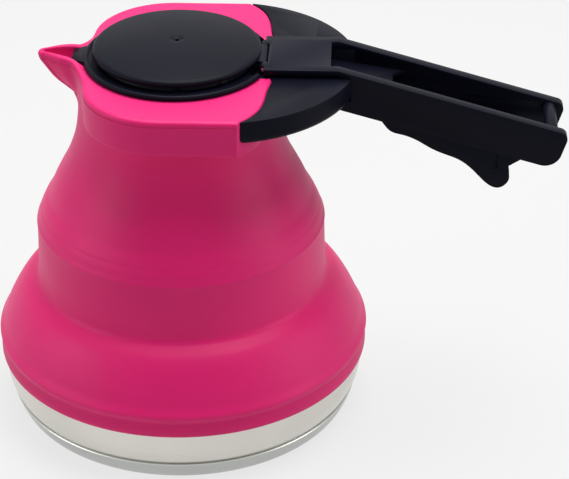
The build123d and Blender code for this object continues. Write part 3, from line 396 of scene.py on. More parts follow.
class RimMaker:
    """Rows of points that follow the neck, the rim, the spout and the mouth."""

    def __init__(self):
        self.anchor = math.radians(SPOUT_ANGLE)
        near_steps, far_steps = ANGLE_STEPS
        self.angles = np.concatenate([
            np.linspace(0, self.anchor, near_steps, endpoint=False),
            np.linspace(self.anchor, math.pi, far_steps),
        ])
        self.heights = np.linspace(*TABLE_HEIGHTS)
        self.prow = prow_table(
            SPOUT_ROOT, SPOUT_TIP, SPOUT_LEVELS, SPOUT_WIDTHS, SPOUT_TIP_ROUND, self.heights,
            self.angles)
        self.channel = prow_table(
            CHANNEL_ROOT, CHANNEL_TIP, CHANNEL_LEVELS, CHANNEL_WIDTHS, CHANNEL_TIP_ROUND,
            self.heights, self.angles)
        self.side_r, self.side_z = np.array(smooth_line(UPPER_SIDE, 6)).T
        rise = np.array(smooth_line(LIP_RISE, 8))
        self.rise_x, self.rise = rise[np.argsort(rise[:, 0])].T

    def flat(self, value):
        """The same value at every angle."""
        return np.full_like(self.angles, value)

    def neck(self, z):
        """Radius of the turned neck at a height."""
        return np.interp(z, self.side_z, self.side_r)

    def top(self, x):
        """Height of the top, which rises along the spout."""
        return RIM_TOP + np.interp(x, self.rise_x, self.rise)

    def outer(self, z, inset=0.0, with_rim=True):
        """Radius of the outside at each angle's height."""
        spout = from_table(self.prow, self.heights, self.angles, z) - inset
        radius = smooth_max(self.neck(z), spout, OUTER_BLEND)
        if with_rim:
            radius = smooth_max(radius, rim_radius(self.angles, inset), OUTER_BLEND)
        return radius

    def inner(self, z, wall_r):
        """Radius of the inside at each angle's height, with the spout's channel."""
        channel = from_table(self.channel, self.heights, self.angles, z)
        return smooth_max(self.flat(wall_r), channel, CHANNEL_BLEND)

    def row(self, radius, z):
        """Evenly spaced points along one level, from the spout's middle round to the back."""
        z = np.broadcast_to(z, radius.shape)
        x, y = -radius * np.cos(self.angles), radius * np.sin(self.angles)
        near = self.angles <= self.anchor + 1e-9
        run = np.concatenate([[0], np.cumsum(np.hypot(np.diff(x[near]), np.diff(y[near])))])
        share = np.linspace(0, 1, NEAR_POINTS, endpoint=False)
        turns = np.interp(share, run / run[-1], self.angles[near])
        turns = np.concatenate([turns, np.linspace(self.anchor, math.pi, FAR_POINTS)])
        return np.stack([np.interp(turns, self.angles, v) for v in (x, y, z)], axis=1)

    def meet_top(self, make_radius, drop):
        """Radius and level that lie a drop below the sloping top edge."""
        z = self.flat(RIM_TOP - drop)
        for _ in range(12):
            z = self.top(-make_radius(z) * np.cos(self.angles)) - drop
        return make_radius(z), z

    def outside_rows(self):
        """Rows from the ledge up the neck, under the rim and up its wall."""
        rows = []
        for r, z in smooth_line(UPPER_SIDE[:-1], 4):
            if z < NECK_TURNED_Z:
                rows.append(self.row(self.flat(r), z))
        for z in np.linspace(*SPOUT_FOOT_Z, 6):
            level = self.flat(z)
            rows.append(self.row(self.outer(level, with_rim=False), level))
        for share, z in UNDER_RIM:
            level = self.flat(z)
            base = self.outer(level, with_rim=False)
            wide = self.outer(level, inset=LOW_ROUND)
            rows.append(self.row(base + (wide - base) * share, level))
        for turn in np.radians([0, 30, 60, 90]):
            level = self.flat(RIM_LOW + LOW_ROUND * (1 - math.cos(turn)))
            rows.append(self.row(self.outer(level, inset=LOW_ROUND * (1 - math.sin(turn))), level))
        top_r, top_z = self.meet_top(self.outer, TOP_ROUND)
        low_z = RIM_LOW + LOW_ROUND
        for share in WALL_SHARES:
            z = low_z + (top_z - low_z) * share
            rows.append(self.row(self.outer(z), z))
        for drop, inset in TOP_LINE:
            rows.append(self.row(*self.meet_top(lambda z: self.outer(z, inset=inset), drop)))
        rows.append(self.row(top_r, top_z))
        return rows

    def inside_rows(self):
        """Rows from the mouth's top edge down the inside to the ledge."""
        rows = []
        _, top_z = self.meet_top(lambda z: self.inner(z, MOUTH_R), MOUTH_ROUND)
        for share in MOUTH_SHARES:
            z = top_z + (MOUTH_LOW - top_z) * share
            rows.append(self.row(self.inner(z, MOUTH_R), z))
        for z in TUBE_LEVELS:
            level = self.flat(z)
            rows.append(self.row(self.inner(level, TUBE_R), level))
        line = [p for p in smooth_line(UPPER_SIDE, 3) if p[1] < NECK_INSIDE_Z]
        for r, z in reversed(inner_line(line, NECK_WALL)):
            rows.append(self.row(self.flat(r), min(max(z, LEDGE_Z), NECK_INSIDE_TOP)))
        return rows

    def top_rows(self, last_out, first_in):
        """Rounded edges and the flat between them, across the top."""
        gap = first_in[:, :2] - last_out[:, :2]
        width = np.linalg.norm(gap, axis=1, keepdims=True)
        step = gap / width
        out_round = np.minimum(TOP_ROUND, width * 0.5)
        in_round = np.minimum(MOUTH_ROUND, width * 0.3)
        rows = []

        def place(distance, drop):
            xy = last_out[:, :2] + step * distance
            z = self.top(xy[:, 0])[:, None] - drop
            rows.append(np.hstack([xy, z]))

        for turn in np.radians([22.5, 45, 67.5, 90]):
            place(out_round * (1 - math.cos(turn)), TOP_ROUND * (1 - math.sin(turn)))
        for share in FLAT_SHARES:
            place(out_round + (width - out_round - in_round) * share, 0.0)
        for turn in np.radians([0, 30, 60]):
            place(width - in_round * (1 - math.sin(turn)), MOUTH_ROUND * (1 - math.cos(turn)))
        return rows

    def points(self):
        """All rows: up the outside, across the top and down the inside."""
        outside = self.outside_rows()
        inside = self.inside_rows()
        return outside + self.top_rows(outside[-1], inside[0]) + inside


def ring_mesh(name, rows):
    """Closed mesh from half rows, mirrored across the middle plane."""
    ring = 2 * len(rows[0]) - 2
    verts = []
    for row in rows:
        verts.extend((x, y, z) for x, y, z in row)
        verts.extend((x, -y, z) for x, y, z in row[-2:0:-1])
    faces = []
    for i in range(len(rows)):
        here, after = i * ring, (i + 1) % len(rows) * ring
        for k in range(ring):
            side = (k + 1) % ring
            faces.append((here + k, here + side, after + side, after + k))
    return new_piece(name, verts, faces, RIM_CREASE)


def stacked(name, levels):
    """Solid through closed outlines of (x, y, z) points that lie one above the other."""
    count = len(levels[0])
    verts = [point for level in levels for point in level]
    last = (len(levels) - 1) * count
    faces = [tuple(range(count)), tuple(range(last, last + count))]
    faces += [
        (low + i, low + (i + 1) % count, low + count + (i + 1) % count, low + count + i)
        for low in range(0, last, count) for i in range(count)
    ]
    return new_piece(name, verts, faces)


def cut(piece, cutter):
    """Takes one solid away from another and deletes the cutter."""
    change = piece.modifiers.new("Cut", "BOOLEAN")
    change.operation = "DIFFERENCE"
    change.solver = "EXACT"
    change.object = cutter
    bake(piece)
    bpy.data.objects.remove(cutter, do_unlink=True)


def seam_cutter():
    """Solid behind the seam, wider towards the top, with the neck tube left out of it."""
    far = np.array(smooth_line(SEAM, 8))
    along = directions(far)
    towards_rim = np.stack([along[:, 1], -along[:, 0]], axis=1)
    (side_x, _), (_, inner_y) = SEAM[0], SEAM[-1]
    inner = [(SEAM_INNER_X, inner_y), (SEAM_INNER_X, -inner_y)]
    around = [
        (side_x, -SEAM_FAR_Y), (SEAM_FAR_X, -SEAM_FAR_Y), (SEAM_FAR_X, SEAM_FAR_Y),
        (side_x, SEAM_FAR_Y),
    ]
    levels = []
    for gap, z in SEAM_LEVELS:
        line = [tuple(p) for p in far + gap * towards_rim]
        outline = [*line, *inner, *[(x, -y) for x, y in reversed(line)], *around]
        levels.append([(x, y, z) for x, y in outline])
    cutter = stacked("seam_cutter", levels)
    cut(cutter, turned("tube_cutter", NECK_KEPT))
    return cutter


# Finishes

def set_sockets(node, **values):
    """Sets a node's sockets, each named with underscores in place of its spaces."""
    for key, value in values.items():
        node.inputs[key.replace("_", " ")].default_value = value
    return node


def add_node(tree, kind, **values):
    """New node with some of its sockets set."""
    return set_sockets(tree.nodes.new(kind), **values)


def math_node(tree, operation, second=None):
    """New Math node, with its second value set where one is given."""
    node = tree.nodes.new("ShaderNodeMath")
    node.operation = operation
    if second is not None:
        node.inputs[1].default_value = second
    return node


def vector_node(tree, operation, **values):
    """New Vector Math node with some of its sockets set."""
    node = tree.nodes.new("ShaderNodeVectorMath")
    node.operation = operation
    return set_sockets(node, **values)


def colour_mix(tree):
    """New Mix node for two colours."""
    node = tree.nodes.new("ShaderNodeMix")
    node.data_type = "RGBA"
    return node


def placed(tree, group, **values):
    """Node group placed in a material's tree, with its own values."""
    node = tree.nodes.new("ShaderNodeGroup")
    node.node_tree = group
    return set_sockets(node, **values)


def shader_group(name, inputs, outputs, build):
    """Node group that several finishes share, made once."""
    group = bpy.data.node_groups.get(name)
    if group:
        return group
    group = bpy.data.node_groups.new(name, "ShaderNodeTree")
    for title, kind, value in inputs:
        place = group.interface.new_socket(name=title, in_out="INPUT", socket_type=kind)
        place.default_value = value
    for title, kind in outputs:
        group.interface.new_socket(name=title, in_out="OUTPUT", socket_type=kind)
    build(group, group.nodes.new("NodeGroupInput"), group.nodes.new("NodeGroupOutput"))
    return group


def moulded_grain(group, source, result):
    """Fine spark-eroded texture of moulded silicone and plastic."""
    place = group.nodes.new("ShaderNodeTexCoord")
    fine = add_node(group, "ShaderNodeTexNoise", Detail=3.0, Roughness=0.6)
    coarse = add_node(group, "ShaderNodeTexNoise", Detail=2.0, Roughness=0.5)
    share = math_node(group, "MULTIPLY", 0.12)
    total = math_node(group, "ADD")
    link = group.links.new
    link(place.outputs["Object"], fine.inputs["Vector"])
    link(place.outputs["Object"], coarse.inputs["Vector"])
    link(source.outputs["Scale"], fine.inputs["Scale"])
    link(source.outputs["Scale"], share.inputs[0])
    link(share.outputs[0], coarse.inputs["Scale"])
    link(fine.outputs["Fac"], total.inputs[0])
    link(coarse.outputs["Fac"], total.inputs[1])
    link(total.outputs[0], result.inputs["Height"])


def colour_drift(group, source, result):
    """Slow change of colour over a surface, and a roughness that follows it."""
    place = group.nodes.new("ShaderNodeTexCoord")
    noise = add_node(group, "ShaderNodeTexNoise", Detail=3.0, Roughness=0.55)
    spread = add_node(group, "ShaderNodeMapRange", From_Min=0.3, From_Max=0.7)
    rough = add_node(group, "ShaderNodeMapRange", From_Min=0.3, From_Max=0.7)
    mix = colour_mix(group)
    link = group.links.new
    link(place.outputs["Object"], noise.inputs["Vector"])
    link(source.outputs["Scale"], noise.inputs["Scale"])
    link(noise.outputs["Fac"], spread.inputs["Value"])
    link(noise.outputs["Fac"], rough.inputs["Value"])
    link(source.outputs["Low roughness"], rough.inputs["To Min"])
    link(source.outputs["High roughness"], rough.inputs["To Max"])
    link(spread.outputs["Result"], mix.inputs["Factor"])
    link(source.outputs["Color"], mix.inputs[MIX_FIRST])
    link(source.outputs["Second color"], mix.inputs[MIX_SECOND])
    link(mix.outputs[MIX_RESULT], result.inputs["Color"])
    link(rough.outputs["Result"], result.inputs["Roughness"])


def spun_lines(group, source, result):
    """Fine rings left by spinning and brushing round the axis."""
    place = group.nodes.new("ShaderNodeTexCoord")
    parts = group.nodes.new("ShaderNodeSeparateXYZ")
    flat = group.nodes.new("ShaderNodeCombineXYZ")
    length = vector_node(group, "LENGTH")
    level = math_node(group, "ADD")
    stretch = math_node(group, "MULTIPLY")
    across = vector_node(group, "SCALE", Scale=6.0)
    across_parts = group.nodes.new("ShaderNodeSeparateXYZ")
    line = group.nodes.new("ShaderNodeCombineXYZ")
    noise = add_node(group, "ShaderNodeTexNoise", Scale=1.0, Detail=4.0, Roughness=0.7)
    rough = add_node(group, "ShaderNodeMapRange", From_Min=0.3, From_Max=0.7)
    link = group.links.new
    link(place.outputs["Object"], parts.inputs[0])
    link(parts.outputs["X"], flat.inputs["X"])
    link(parts.outputs["Y"], flat.inputs["Y"])
    link(flat.outputs[0], length.inputs[0])
    link(length.outputs["Value"], level.inputs[0])
    link(parts.outputs["Z"], level.inputs[1])
    link(level.outputs[0], stretch.inputs[0])
    link(source.outputs["Lines per metre"], stretch.inputs[1])
    link(flat.outputs[0], across.inputs[0])
    link(across.outputs["Vector"], across_parts.inputs[0])
    link(across_parts.outputs["X"], line.inputs["X"])
    link(across_parts.outputs["Y"], line.inputs["Y"])
    link(stretch.outputs[0], line.inputs["Z"])
    link(line.outputs[0], noise.inputs["Vector"])
    link(noise.outputs["Fac"], rough.inputs["Value"])
    link(source.outputs["Low roughness"], rough.inputs["To Min"])
    link(source.outputs["High roughness"], rough.inputs["To Max"])
    link(noise.outputs["Fac"], result.inputs["Height"])
    link(rough.outputs["Result"], result.inputs["Roughness"])


def edge_wear_and_highlight(group, source, result):
    """Paler colour on sharp edges: partly rubbed wear, partly a painted highlight along the rounded
    edges.
    """
    place = group.nodes.new("ShaderNodeNewGeometry")
    edge = add_node(group, "ShaderNodeMapRange", From_Min=0.53, From_Max=0.64)
    amount = math_node(group, "MULTIPLY")
    mix = colour_mix(group)
    link = group.links.new
    link(place.outputs["Pointiness"], edge.inputs["Value"])
    link(edge.outputs["Result"], amount.inputs[0])
    link(source.outputs["Amount"], amount.inputs[1])
    link(amount.outputs[0], mix.inputs["Factor"])
    link(source.outputs["Color"], mix.inputs[MIX_FIRST])
    link(source.outputs["Worn color"], mix.inputs[MIX_SECOND])
    link(mix.outputs[MIX_RESULT], result.inputs["Color"])


def grain_group():
    """The shared group of moulded grain."""
    return shader_group(
        "Moulded grain", [("Scale", FLOAT, 2200.0)], [("Height", FLOAT)], moulded_grain)


def drift_group():
    """The shared group of slow colour change."""
    return shader_group("Colour drift", [
        ("Color", COLOUR, GREY), ("Second color", COLOUR, GREY), ("Scale", FLOAT, 20.0),
        ("Low roughness", FLOAT, 0.4), ("High roughness", FLOAT, 0.5),
    ], [("Color", COLOUR), ("Roughness", FLOAT)], colour_drift)


def spun_group():
    """The shared group of spun rings."""
    return shader_group("Spun lines", [
        ("Lines per metre", FLOAT, 4000.0), ("Low roughness", FLOAT, 0.2),
        ("High roughness", FLOAT, 0.4),
    ], [("Height", FLOAT), ("Roughness", FLOAT)], spun_lines)


def wear_and_highlight_group():
    """The shared group of paler edges, partly rubbed wear and partly painted highlight."""
    return shader_group("Edge wear", [
        ("Color", COLOUR, GREY), ("Worn color", COLOUR, GREY), ("Amount", FLOAT, 0.5),
    ], [("Color", COLOUR)], edge_wear_and_highlight)


def colour(value, share=1.0):
    """Four-part colour from a setting, made darker or lighter by a share."""
    return (*(min(part * share, 1.0) for part in value), 1.0)


def blank_material(name):
    """New node material, or the one already made, with its main shader."""
    material = bpy.data.materials.get(name) or bpy.data.materials.new(name)
    material.use_nodes = True
    tree = material.node_tree
    tree.nodes.clear()
    shader = tree.nodes.new("ShaderNodeBsdfPrincipled")
    out = tree.nodes.new("ShaderNodeOutputMaterial")
    tree.links.new(shader.outputs[0], out.inputs["Surface"])
    return material, tree, shader


def moulded_material(name, base, second, grain, depth, low, high, wear_and_highlight_colour=None, wear_and_highlight=0.0):
    """Moulded silicone, rubber or plastic: slow drift, fine grain and, on plastic, paler edges that
    are partly rubbed wear and partly painted highlight.
    """
    material, tree, shader = blank_material(name)
    drift = placed(
        tree, drift_group(), Color=base, Second_color=second, Scale=24.0, Low_roughness=low,
        High_roughness=high)
    texture = placed(tree, grain_group(), Scale=grain)
    bump = add_node(tree, "ShaderNodeBump", Strength=0.35, Distance=depth)
    link = tree.links.new
    link(texture.outputs["Height"], bump.inputs["Height"])
    link(bump.outputs["Normal"], shader.inputs["Normal"])
    link(drift.outputs["Roughness"], shader.inputs["Roughness"])
    if wear_and_highlight_colour is None:
        link(drift.outputs["Color"], shader.inputs["Base Color"])
    else:
        # Paler edges: partly rubbed wear, partly a painted highlight on the rounded edges
        edges = placed(tree, wear_and_highlight_group(), Worn_color=wear_and_highlight_colour, Amount=wear_and_highlight)
        link(drift.outputs["Color"], edges.inputs["Color"])
        link(edges.outputs["Color"], shader.inputs["Base Color"])
    return material, shader


def silicone_material():
    """Matte pink silicone with a faint velvet bloom."""
    look = bpy.context.scene.kettle_silicone
    material, shader = moulded_material(
        "pink_silicone", colour(look.tint), colour(look.tint, 0.93), look.grain, depth=0.00006,
        low=0.44, high=0.52)
    set_sockets(
        shader, Subsurface_Weight=0.08, Subsurface_Radius=(0.004, 0.0008, 0.0012),
        Subsurface_Scale=1.0, Sheen_Weight=look.bloom, Sheen_Roughness=0.45,
        Sheen_Tint=(1.0, 0.35, 0.6, 1.0), Specular_IOR_Level=0.3)
    return material


def plastic_material(name, look):
    """Satin black moulded plastic with paler edges, partly rubbed wear and partly painted highlight.
    """
    material, shader = moulded_material(
        name, colour(look.tint), colour(look.tint, 1.25), look.grain, depth=0.00005,
        low=0.34, high=0.44, wear_and_highlight_colour=colour(look.tint, 3.2), wear_and_highlight=look.edge_wear_and_highlight)
    set_sockets(shader, Specular_IOR_Level=0.06)
    return material


def rubber_material():
    """Dark lid seal."""
    material, _ = moulded_material(
        "seal_rubber", (0.012, 0.012, 0.013, 1), (0.018, 0.018, 0.019, 1), 1800.0, depth=0.00004,
        low=0.55, high=0.65)
    return material


def steel_material(name, tint, lines, depth, low, high):
    """Spun steel with fine rings round the axis."""
    material, tree, shader = blank_material(name)
    rings = placed(
        tree, spun_group(), Lines_per_metre=lines, Low_roughness=low, High_roughness=high)
    drift = placed(
        tree, drift_group(), Color=colour(tint), Second_color=colour(tint, 0.9), Scale=14.0,
        Low_roughness=low, High_roughness=high)
    bump = add_node(tree, "ShaderNodeBump", Strength=0.25, Distance=depth)
    link = tree.links.new
    link(rings.outputs["Height"], bump.inputs["Height"])
    link(bump.outputs["Normal"], shader.inputs["Normal"])
    link(rings.outputs["Roughness"], shader.inputs["Roughness"])
    link(drift.outputs["Color"], shader.inputs["Base Color"])
    set_sockets(shader, Metallic=1.0, Anisotropic=0.3)
    return material


def seen_directly(tree):
    """Mask of the rays by which the camera, metal and glass see a background."""
    path = tree.nodes.new("ShaderNodeLightPath")
    mirrored = math_node(tree, "MAXIMUM")
    seen = math_node(tree, "MAXIMUM")
    tree.links.new(path.outputs["Is Glossy Ray"], mirrored.inputs[0])
    tree.links.new(path.outputs["Is Transmission Ray"], mirrored.inputs[1])
    tree.links.new(path.outputs["Is Camera Ray"], seen.inputs[0])
    tree.links.new(mirrored.outputs[0], seen.inputs[1])
    return seen.outputs[0]


def floor_material(tint):
    """Pale floor that stays white to the camera and to reflections, and keeps the shadow."""
    material, tree, shader = blank_material("pale_floor")
    set_sockets(shader, Specular_IOR_Level=0.2)
    drift = placed(
        tree, drift_group(), Color=colour(tint), Second_color=colour(tint, 0.995), Scale=2.0,
        Low_roughness=0.8, High_roughness=0.85)
    glow = add_node(tree, "ShaderNodeEmission", Color=WHITE, Strength=1.0)
    share = math_node(tree, "MULTIPLY", 0.72)
    mix = tree.nodes.new("ShaderNodeMixShader")
    out = tree.nodes["Material Output"]
    link = tree.links.new
    link(drift.outputs["Color"], shader.inputs["Base Color"])
    link(drift.outputs["Roughness"], shader.inputs["Roughness"])
    link(seen_directly(tree), share.inputs[0])
    link(share.outputs[0], mix.inputs["Fac"])
    link(shader.outputs[0], mix.inputs[1])
    link(glow.outputs[0], mix.inputs[2])
    link(mix.outputs[0], out.inputs["Surface"])
    return material


# Settings a user would change

class KettleSilicone(PropertyGroup):
    """Silicone settings."""

    tint: FloatVectorProperty(
        name="Colour", description="Colour of the silicone", subtype="COLOR",
        default=(0.80, 0.009, 0.17), min=0.0, max=1.0)
    grain: FloatProperty(
        name="Grain", description="Fineness of the mould texture, per metre",
        default=2200.0, min=100.0)
    bloom: FloatProperty(
        name="Bloom", description="Strength of the pale velvet look at the edges",
        default=0.16, min=0.0, max=1.0, subtype="FACTOR")


class KettlePlastic(PropertyGroup):
    """Plastic settings."""

    tint: FloatVectorProperty(
        name="Colour", description="Colour of the plastic", subtype="COLOR",
        default=(0.0034, 0.0038, 0.0085), min=0.0, max=1.0)
    grain: FloatProperty(
        name="Grain", description="Fineness of the mould texture, per metre",
        default=2600.0, min=100.0)
    # Paleness of the edges, partly rubbed wear and partly a painted highlight
    edge_wear_and_highlight: FloatProperty(
        name="Edge wear", description="How pale the edges are, from wear and a painted highlight",
        default=0.25, min=0.0, max=1.0, subtype="FACTOR")
    edge_round: FloatProperty(
        name="Edge rounding", description="Rounding of the plastic's edges in millimetres",
        default=0.7, min=0.05, max=1.5)


class KettleSteel(PropertyGroup):
    """Steel settings."""

    tint: FloatVectorProperty(
        name="Colour", description="Colour of the pan's steel", subtype="COLOR",
        default=(0.70, 0.68, 0.63), min=0.0, max=1.0)
    plate_tint: FloatVectorProperty(
        name="Plate colour", description="Colour of the base plate's steel", subtype="COLOR",
        default=(0.52, 0.53, 0.51), min=0.0, max=1.0)
    lines: FloatProperty(
        name="Rings", description="Spun rings per metre", default=5200.0, min=100.0)
    turns: IntProperty(
        name="Steps round", description="Mesh steps round the axis", default=256, min=48, max=720)


class KettleStage(PropertyGroup):
    """Stage settings."""

    floor_tint: FloatVectorProperty(
        name="Floor", description="Colour of the floor", subtype="COLOR",
        default=(0.6, 0.6, 0.6), min=0.0, max=1.0)
    world: FloatProperty(
        name="World", description="Strength of the light from all round", default=0.17, min=0.0)
    overhead: FloatProperty(
        name="Overhead", description="Power of the lamp above in watts",
        default=12.0, min=0.0, subtype="POWER")
    side: FloatProperty(
        name="Side", description="Power of the lamp at the left in watts",
        default=3.0, min=0.0, subtype="POWER")
    far_side: FloatProperty(
        name="Far side", description="Power of the lamp at the right in watts",
        default=2.5, min=0.0, subtype="POWER")
    lens: FloatProperty(
        name="Lens", description="Focal length in millimetres",
        default=155.1, min=10.0, subtype="DISTANCE_CAMERA")


# Operators, one for each piece or group of like pieces

class KETTLE_OT_steel_base(Operator):
    """Build the steel pan and the plate under it"""

    bl_idname = "kettle.steel_base"
    bl_label = "Steel base"

    def execute(self, context):
        look = context.scene.kettle_steel
        side = smooth_line(PAN_SIDE, 6)
        inside = [(r - PAN_WALL, z) for r, z in side[8:]]
        floor_z = PAN_FLOOR_Z + PAN_WALL
        outline = [
            (0.0, PAN_FLOOR_Z), (PAN_FLOOR_R, PAN_FLOOR_Z), *side, (PAN_R, PAN_RIM_Z),
            (PAN_R - PAN_WALL, PAN_RIM_Z), *reversed(inside), (PAN_INSIDE_R, floor_z),
            (PAN_FLOOR_R, floor_z), (0.0, floor_z),
        ]
        pan = turned("steel_pan", outline, look.turns)
        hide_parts("base_pan")
        pan_steel = steel_material(
            "pan_steel", look.tint, look.lines, depth=0.00002, low=0.16, high=0.3)
        finish_piece(pan, "base", pan_steel)
        edge = smooth_line(PLATE_SIDE, 6)
        plate = turned("steel_base_plate", [*PLATE_UNDER, *edge[3:-2], *PLATE_TOP], look.turns)
        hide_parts("base_plate", "base_core")
        plate_steel = steel_material(
            "base_steel", look.plate_tint, look.lines * 0.6, depth=0.00003, low=0.24, high=0.4)
        finish_piece(plate, "base", plate_steel)
        paint_node("clamp_ring", pan_steel)
        return {"FINISHED"}


class KETTLE_OT_silicone_body(Operator):
    """Build the two silicone pieces that fold, with the rim and the spout"""

    bl_idname = "kettle.silicone_body"
    bl_label = "Silicone body"

    def execute(self, context):
        material = silicone_material()
        fold_inside = inner_line(smooth_line(LOWER_FOLD_SIDE[1:7], 5), FOLD_WALL)
        outline = [
            *smooth_line(LIP_SIDE, 4), *smooth_line(LOWER_FOLD_SIDE, 5)[1:],
            *smooth_line(MIDDLE_SIDE, 4)[1:], (LEDGE_R, LEDGE_Z), *MIDDLE_INSIDE,
            *reversed(fold_inside), *LIP_INSIDE, *LIP_HOOK,
        ]
        lower = turned("silicone_lower", outline, 288, sharp=42.0)
        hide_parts("silicone_base_ring", "silicone_lower_fold", "silicone_mid_ring")
        paint(lower, material)
        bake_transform(lower)
        upper = ring_mesh("silicone_upper", RimMaker().points())
        cut(upper, seam_cutter())
        finish_mesh(upper.data, RIM_CREASE)
        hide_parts("silicone_upper_fold", "silicone_neck", "silicone_rim", "silicone_spout")
        paint(upper, material)
        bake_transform(upper)
        return {"FINISHED"}


class KETTLE_OT_handle(Operator):
    """Build the black collar, the handle frame and the rod across its end"""

    bl_idname = "kettle.handle"
    bl_label = "Collar and handle"

    def execute(self, context):
        look = context.scene.kettle_plastic
        material = plastic_material("black_plastic", look)
        for node, name in (
            ("handle_collar", "collar"), ("handle_frame", "two_rail_handle"),
            ("end_rod", "handle_rod"),
        ):
            piece = softened(node, name, look.edge_round)
            finish_piece(piece, "head", material)
        return {"FINISHED"}


class KETTLE_OT_trigger(Operator):
    """Build the trigger below the rails and the link to the lid"""

    bl_idname = "kettle.trigger"
    bl_label = "Trigger"

    def execute(self, context):
        look = context.scene.kettle_plastic
        material = plastic_material("black_plastic_trigger", look)
        piece = softened("trigger_lever", "trigger", look.edge_round)
        finish_piece(piece, "trigger", material)
        paint_node("lid_link", material)
        return {"FINISHED"}


class KETTLE_OT_lid(Operator):
    """Build the lid with its domed cap, beaded edge and seal"""

    bl_idname = "kettle.lid"
    bl_label = "Lid"

    def execute(self, context):
        look = context.scene.kettle_plastic
        material = plastic_material("black_plastic_lid", look)
        flange = softened("lid_base", "lid_edge", LID_EDGE_ROUND)
        finish_piece(flange, "lid", material)
        cap = turned("lid_dome", self.cap_outline(), sharp=40.0)
        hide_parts("lid_cap")
        finish_piece(cap, "lid", material)
        paint_node("lid_seal", rubber_material())
        return {"FINISHED"}

    def cap_outline(self):
        """Outline of the cap: the vent's dimple, the dome, the rounded edge and the underside."""
        top = CAP_LOW + CAP_CROWN
        rim = CAP_LOW + CAP_RIM
        dimple = [(VENT_R, top - 0.5), (2.0, top - 0.45), (2.5, top - 0.1), (DIMPLE_R, top - 0.02)]
        dome = []
        for k in range(1, CAP_RINGS + 1):
            r = DIMPLE_R + (CAP_R - CAP_EDGE - DIMPLE_R) * k / CAP_RINGS
            fall = (CAP_CROWN - CAP_RIM - CAP_EASE) * (r / CAP_R) ** CAP_CURVE
            dome.append((r, top - fall))
        edge = [
            (CAP_R - 0.35, rim + 0.02), (CAP_R - 0.08, rim - 0.3), (CAP_R, rim - 0.75),
            (CAP_R, CAP_LOW + 0.4), (CAP_R - 0.1, CAP_LOW + 0.1), (CAP_R - 0.4, CAP_LOW),
        ]
        return [*dimple, *dome, *edge, (CAP_CORE_R, CAP_LOW), (VENT_R, CAP_LOW)]


class KETTLE_OT_small_metal(Operator):
    """Finish the pins, the screws and the spring"""

    bl_idname = "kettle.small_metal"
    bl_label = "Pins, screws and spring"

    def execute(self, context):
        material = steel_material(
            "pin_steel", (0.55, 0.55, 0.55), 3000.0, depth=0.00001, low=0.25, high=0.4)
        for name in (
            "trigger_pin", "collar_screws", "trigger_spring", "link_pin_rear", "link_pin_front",
            "lid_hinge_pins", "lid_screws",
        ):
            paint_node(name, material)
        return {"FINISHED"}


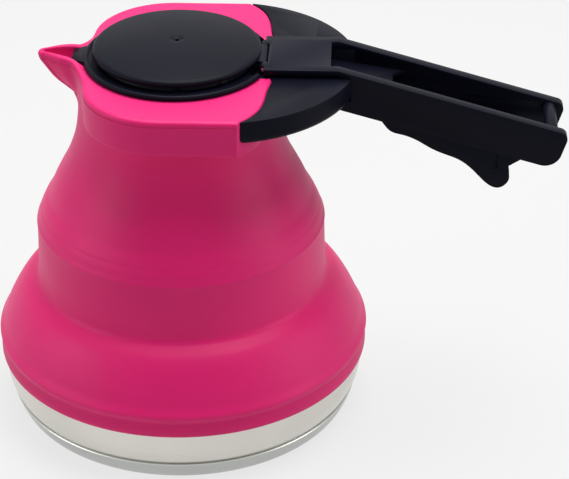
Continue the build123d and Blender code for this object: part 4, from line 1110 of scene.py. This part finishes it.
class KETTLE_OT_stage(Operator):
    """Set the pale floor, the soft light, the world and the camera"""

    bl_idname = "kettle.stage"
    bl_label = "Stage"

    def execute(self, context):
        look = context.scene.kettle_stage
        size = FLOOR_HALF_MM
        corners = [(-size, -size, 0), (size, -size, 0), (size, size, 0), (-size, size, 0)]
        floor = new_piece("floor", corners, [(0, 1, 2, 3)])
        floor.data.materials.append(floor_material(look.floor_tint))
        self.light("overhead", look.overhead, *OVERHEAD_LAMP)
        self.light("side", look.side, *SIDE_LAMP)
        self.light("far_side", look.far_side, *FAR_SIDE_LAMP)
        self.world(look.world)
        self.camera(look.lens)
        return {"FINISHED"}

    def light(self, name, power, place, target, width, height):
        """Adds a rectangular lamp that faces its target."""
        lamp = bpy.data.lights.new(name, "AREA")
        lamp.shape = "RECTANGLE"
        lamp.size = width
        lamp.size_y = height
        lamp.energy = power
        item = bpy.data.objects.new(name, lamp)
        item.location = place
        item.rotation_euler = (Vector(target) - Vector(place)).to_track_quat("-Z", "Y").to_euler()
        bpy.context.scene.collection.objects.link(item)

    def world(self, strength):
        """Sets an even world that looks white where it is seen directly."""
        world = bpy.data.worlds.new("soft_studio")
        world.use_nodes = True
        tree = world.node_tree
        tree.nodes.clear()
        soft = add_node(tree, "ShaderNodeBackground", Color=WHITE, Strength=strength)
        white = add_node(tree, "ShaderNodeBackground", Color=WHITE, Strength=1.0)
        mix = tree.nodes.new("ShaderNodeMixShader")
        out = tree.nodes.new("ShaderNodeOutputWorld")
        tree.links.new(seen_directly(tree), mix.inputs["Fac"])
        tree.links.new(soft.outputs[0], mix.inputs[1])
        tree.links.new(white.outputs[0], mix.inputs[2])
        tree.links.new(mix.outputs[0], out.inputs["Surface"])
        bpy.context.scene.world = world

    def camera(self, lens):
        """Adds the camera at the photograph's viewing angle."""
        data = bpy.data.cameras.new("photo_view")
        data.lens = lens
        data.sensor_width = 36.0
        data.clip_start = 0.01
        data.clip_end = 50.0
        item = bpy.data.objects.new("photo_view", data)
        item.location = CAMERA_PLACE
        item.rotation_euler = (math.radians(90.0 - CAMERA_DIP), 0.0, math.radians(CAMERA_TURN))
        bpy.context.scene.collection.objects.link(item)
        bpy.context.scene.camera = item


class KETTLE_PT_panel(Panel):
    """Buttons for the kettle's pieces"""

    bl_idname = "KETTLE_PT_panel"
    bl_label = "Kettle"
    bl_space_type = "VIEW_3D"
    bl_region_type = "UI"
    bl_category = "Kettle"

    def draw(self, context):
        for operator in OPERATORS:
            self.layout.operator(operator.bl_idname)


OPERATORS = (
    KETTLE_OT_steel_base, KETTLE_OT_silicone_body, KETTLE_OT_handle, KETTLE_OT_trigger,
    KETTLE_OT_lid, KETTLE_OT_small_metal, KETTLE_OT_stage,
)
SETTINGS = (
    ("kettle_silicone", KettleSilicone), ("kettle_plastic", KettlePlastic),
    ("kettle_steel", KettleSteel), ("kettle_stage", KettleStage),
)


def register():
    """Registers the settings, the operators and the panel."""
    for name, kind in SETTINGS:
        bpy.utils.register_class(kind)
        setattr(bpy.types.Scene, name, PointerProperty(type=kind))
    for kind in (*OPERATORS, KETTLE_PT_panel):
        bpy.utils.register_class(kind)


def unregister():
    """Takes the panel, the operators and the settings out again."""
    for kind in (KETTLE_PT_panel, *reversed(OPERATORS)):
        bpy.utils.unregister_class(kind)
    for name, kind in reversed(SETTINGS):
        delattr(bpy.types.Scene, name)
        bpy.utils.unregister_class(kind)


def main():
    """Builds every piece in order."""
    register()
    bpy.ops.kettle.steel_base()
    bpy.ops.kettle.silicone_body()
    bpy.ops.kettle.handle()
    bpy.ops.kettle.trigger()
    bpy.ops.kettle.lid()
    bpy.ops.kettle.small_metal()
    bpy.ops.kettle.stage()
    bpy.context.scene.view_settings.view_transform = "Standard"


if __name__ == "__main__":
    main()
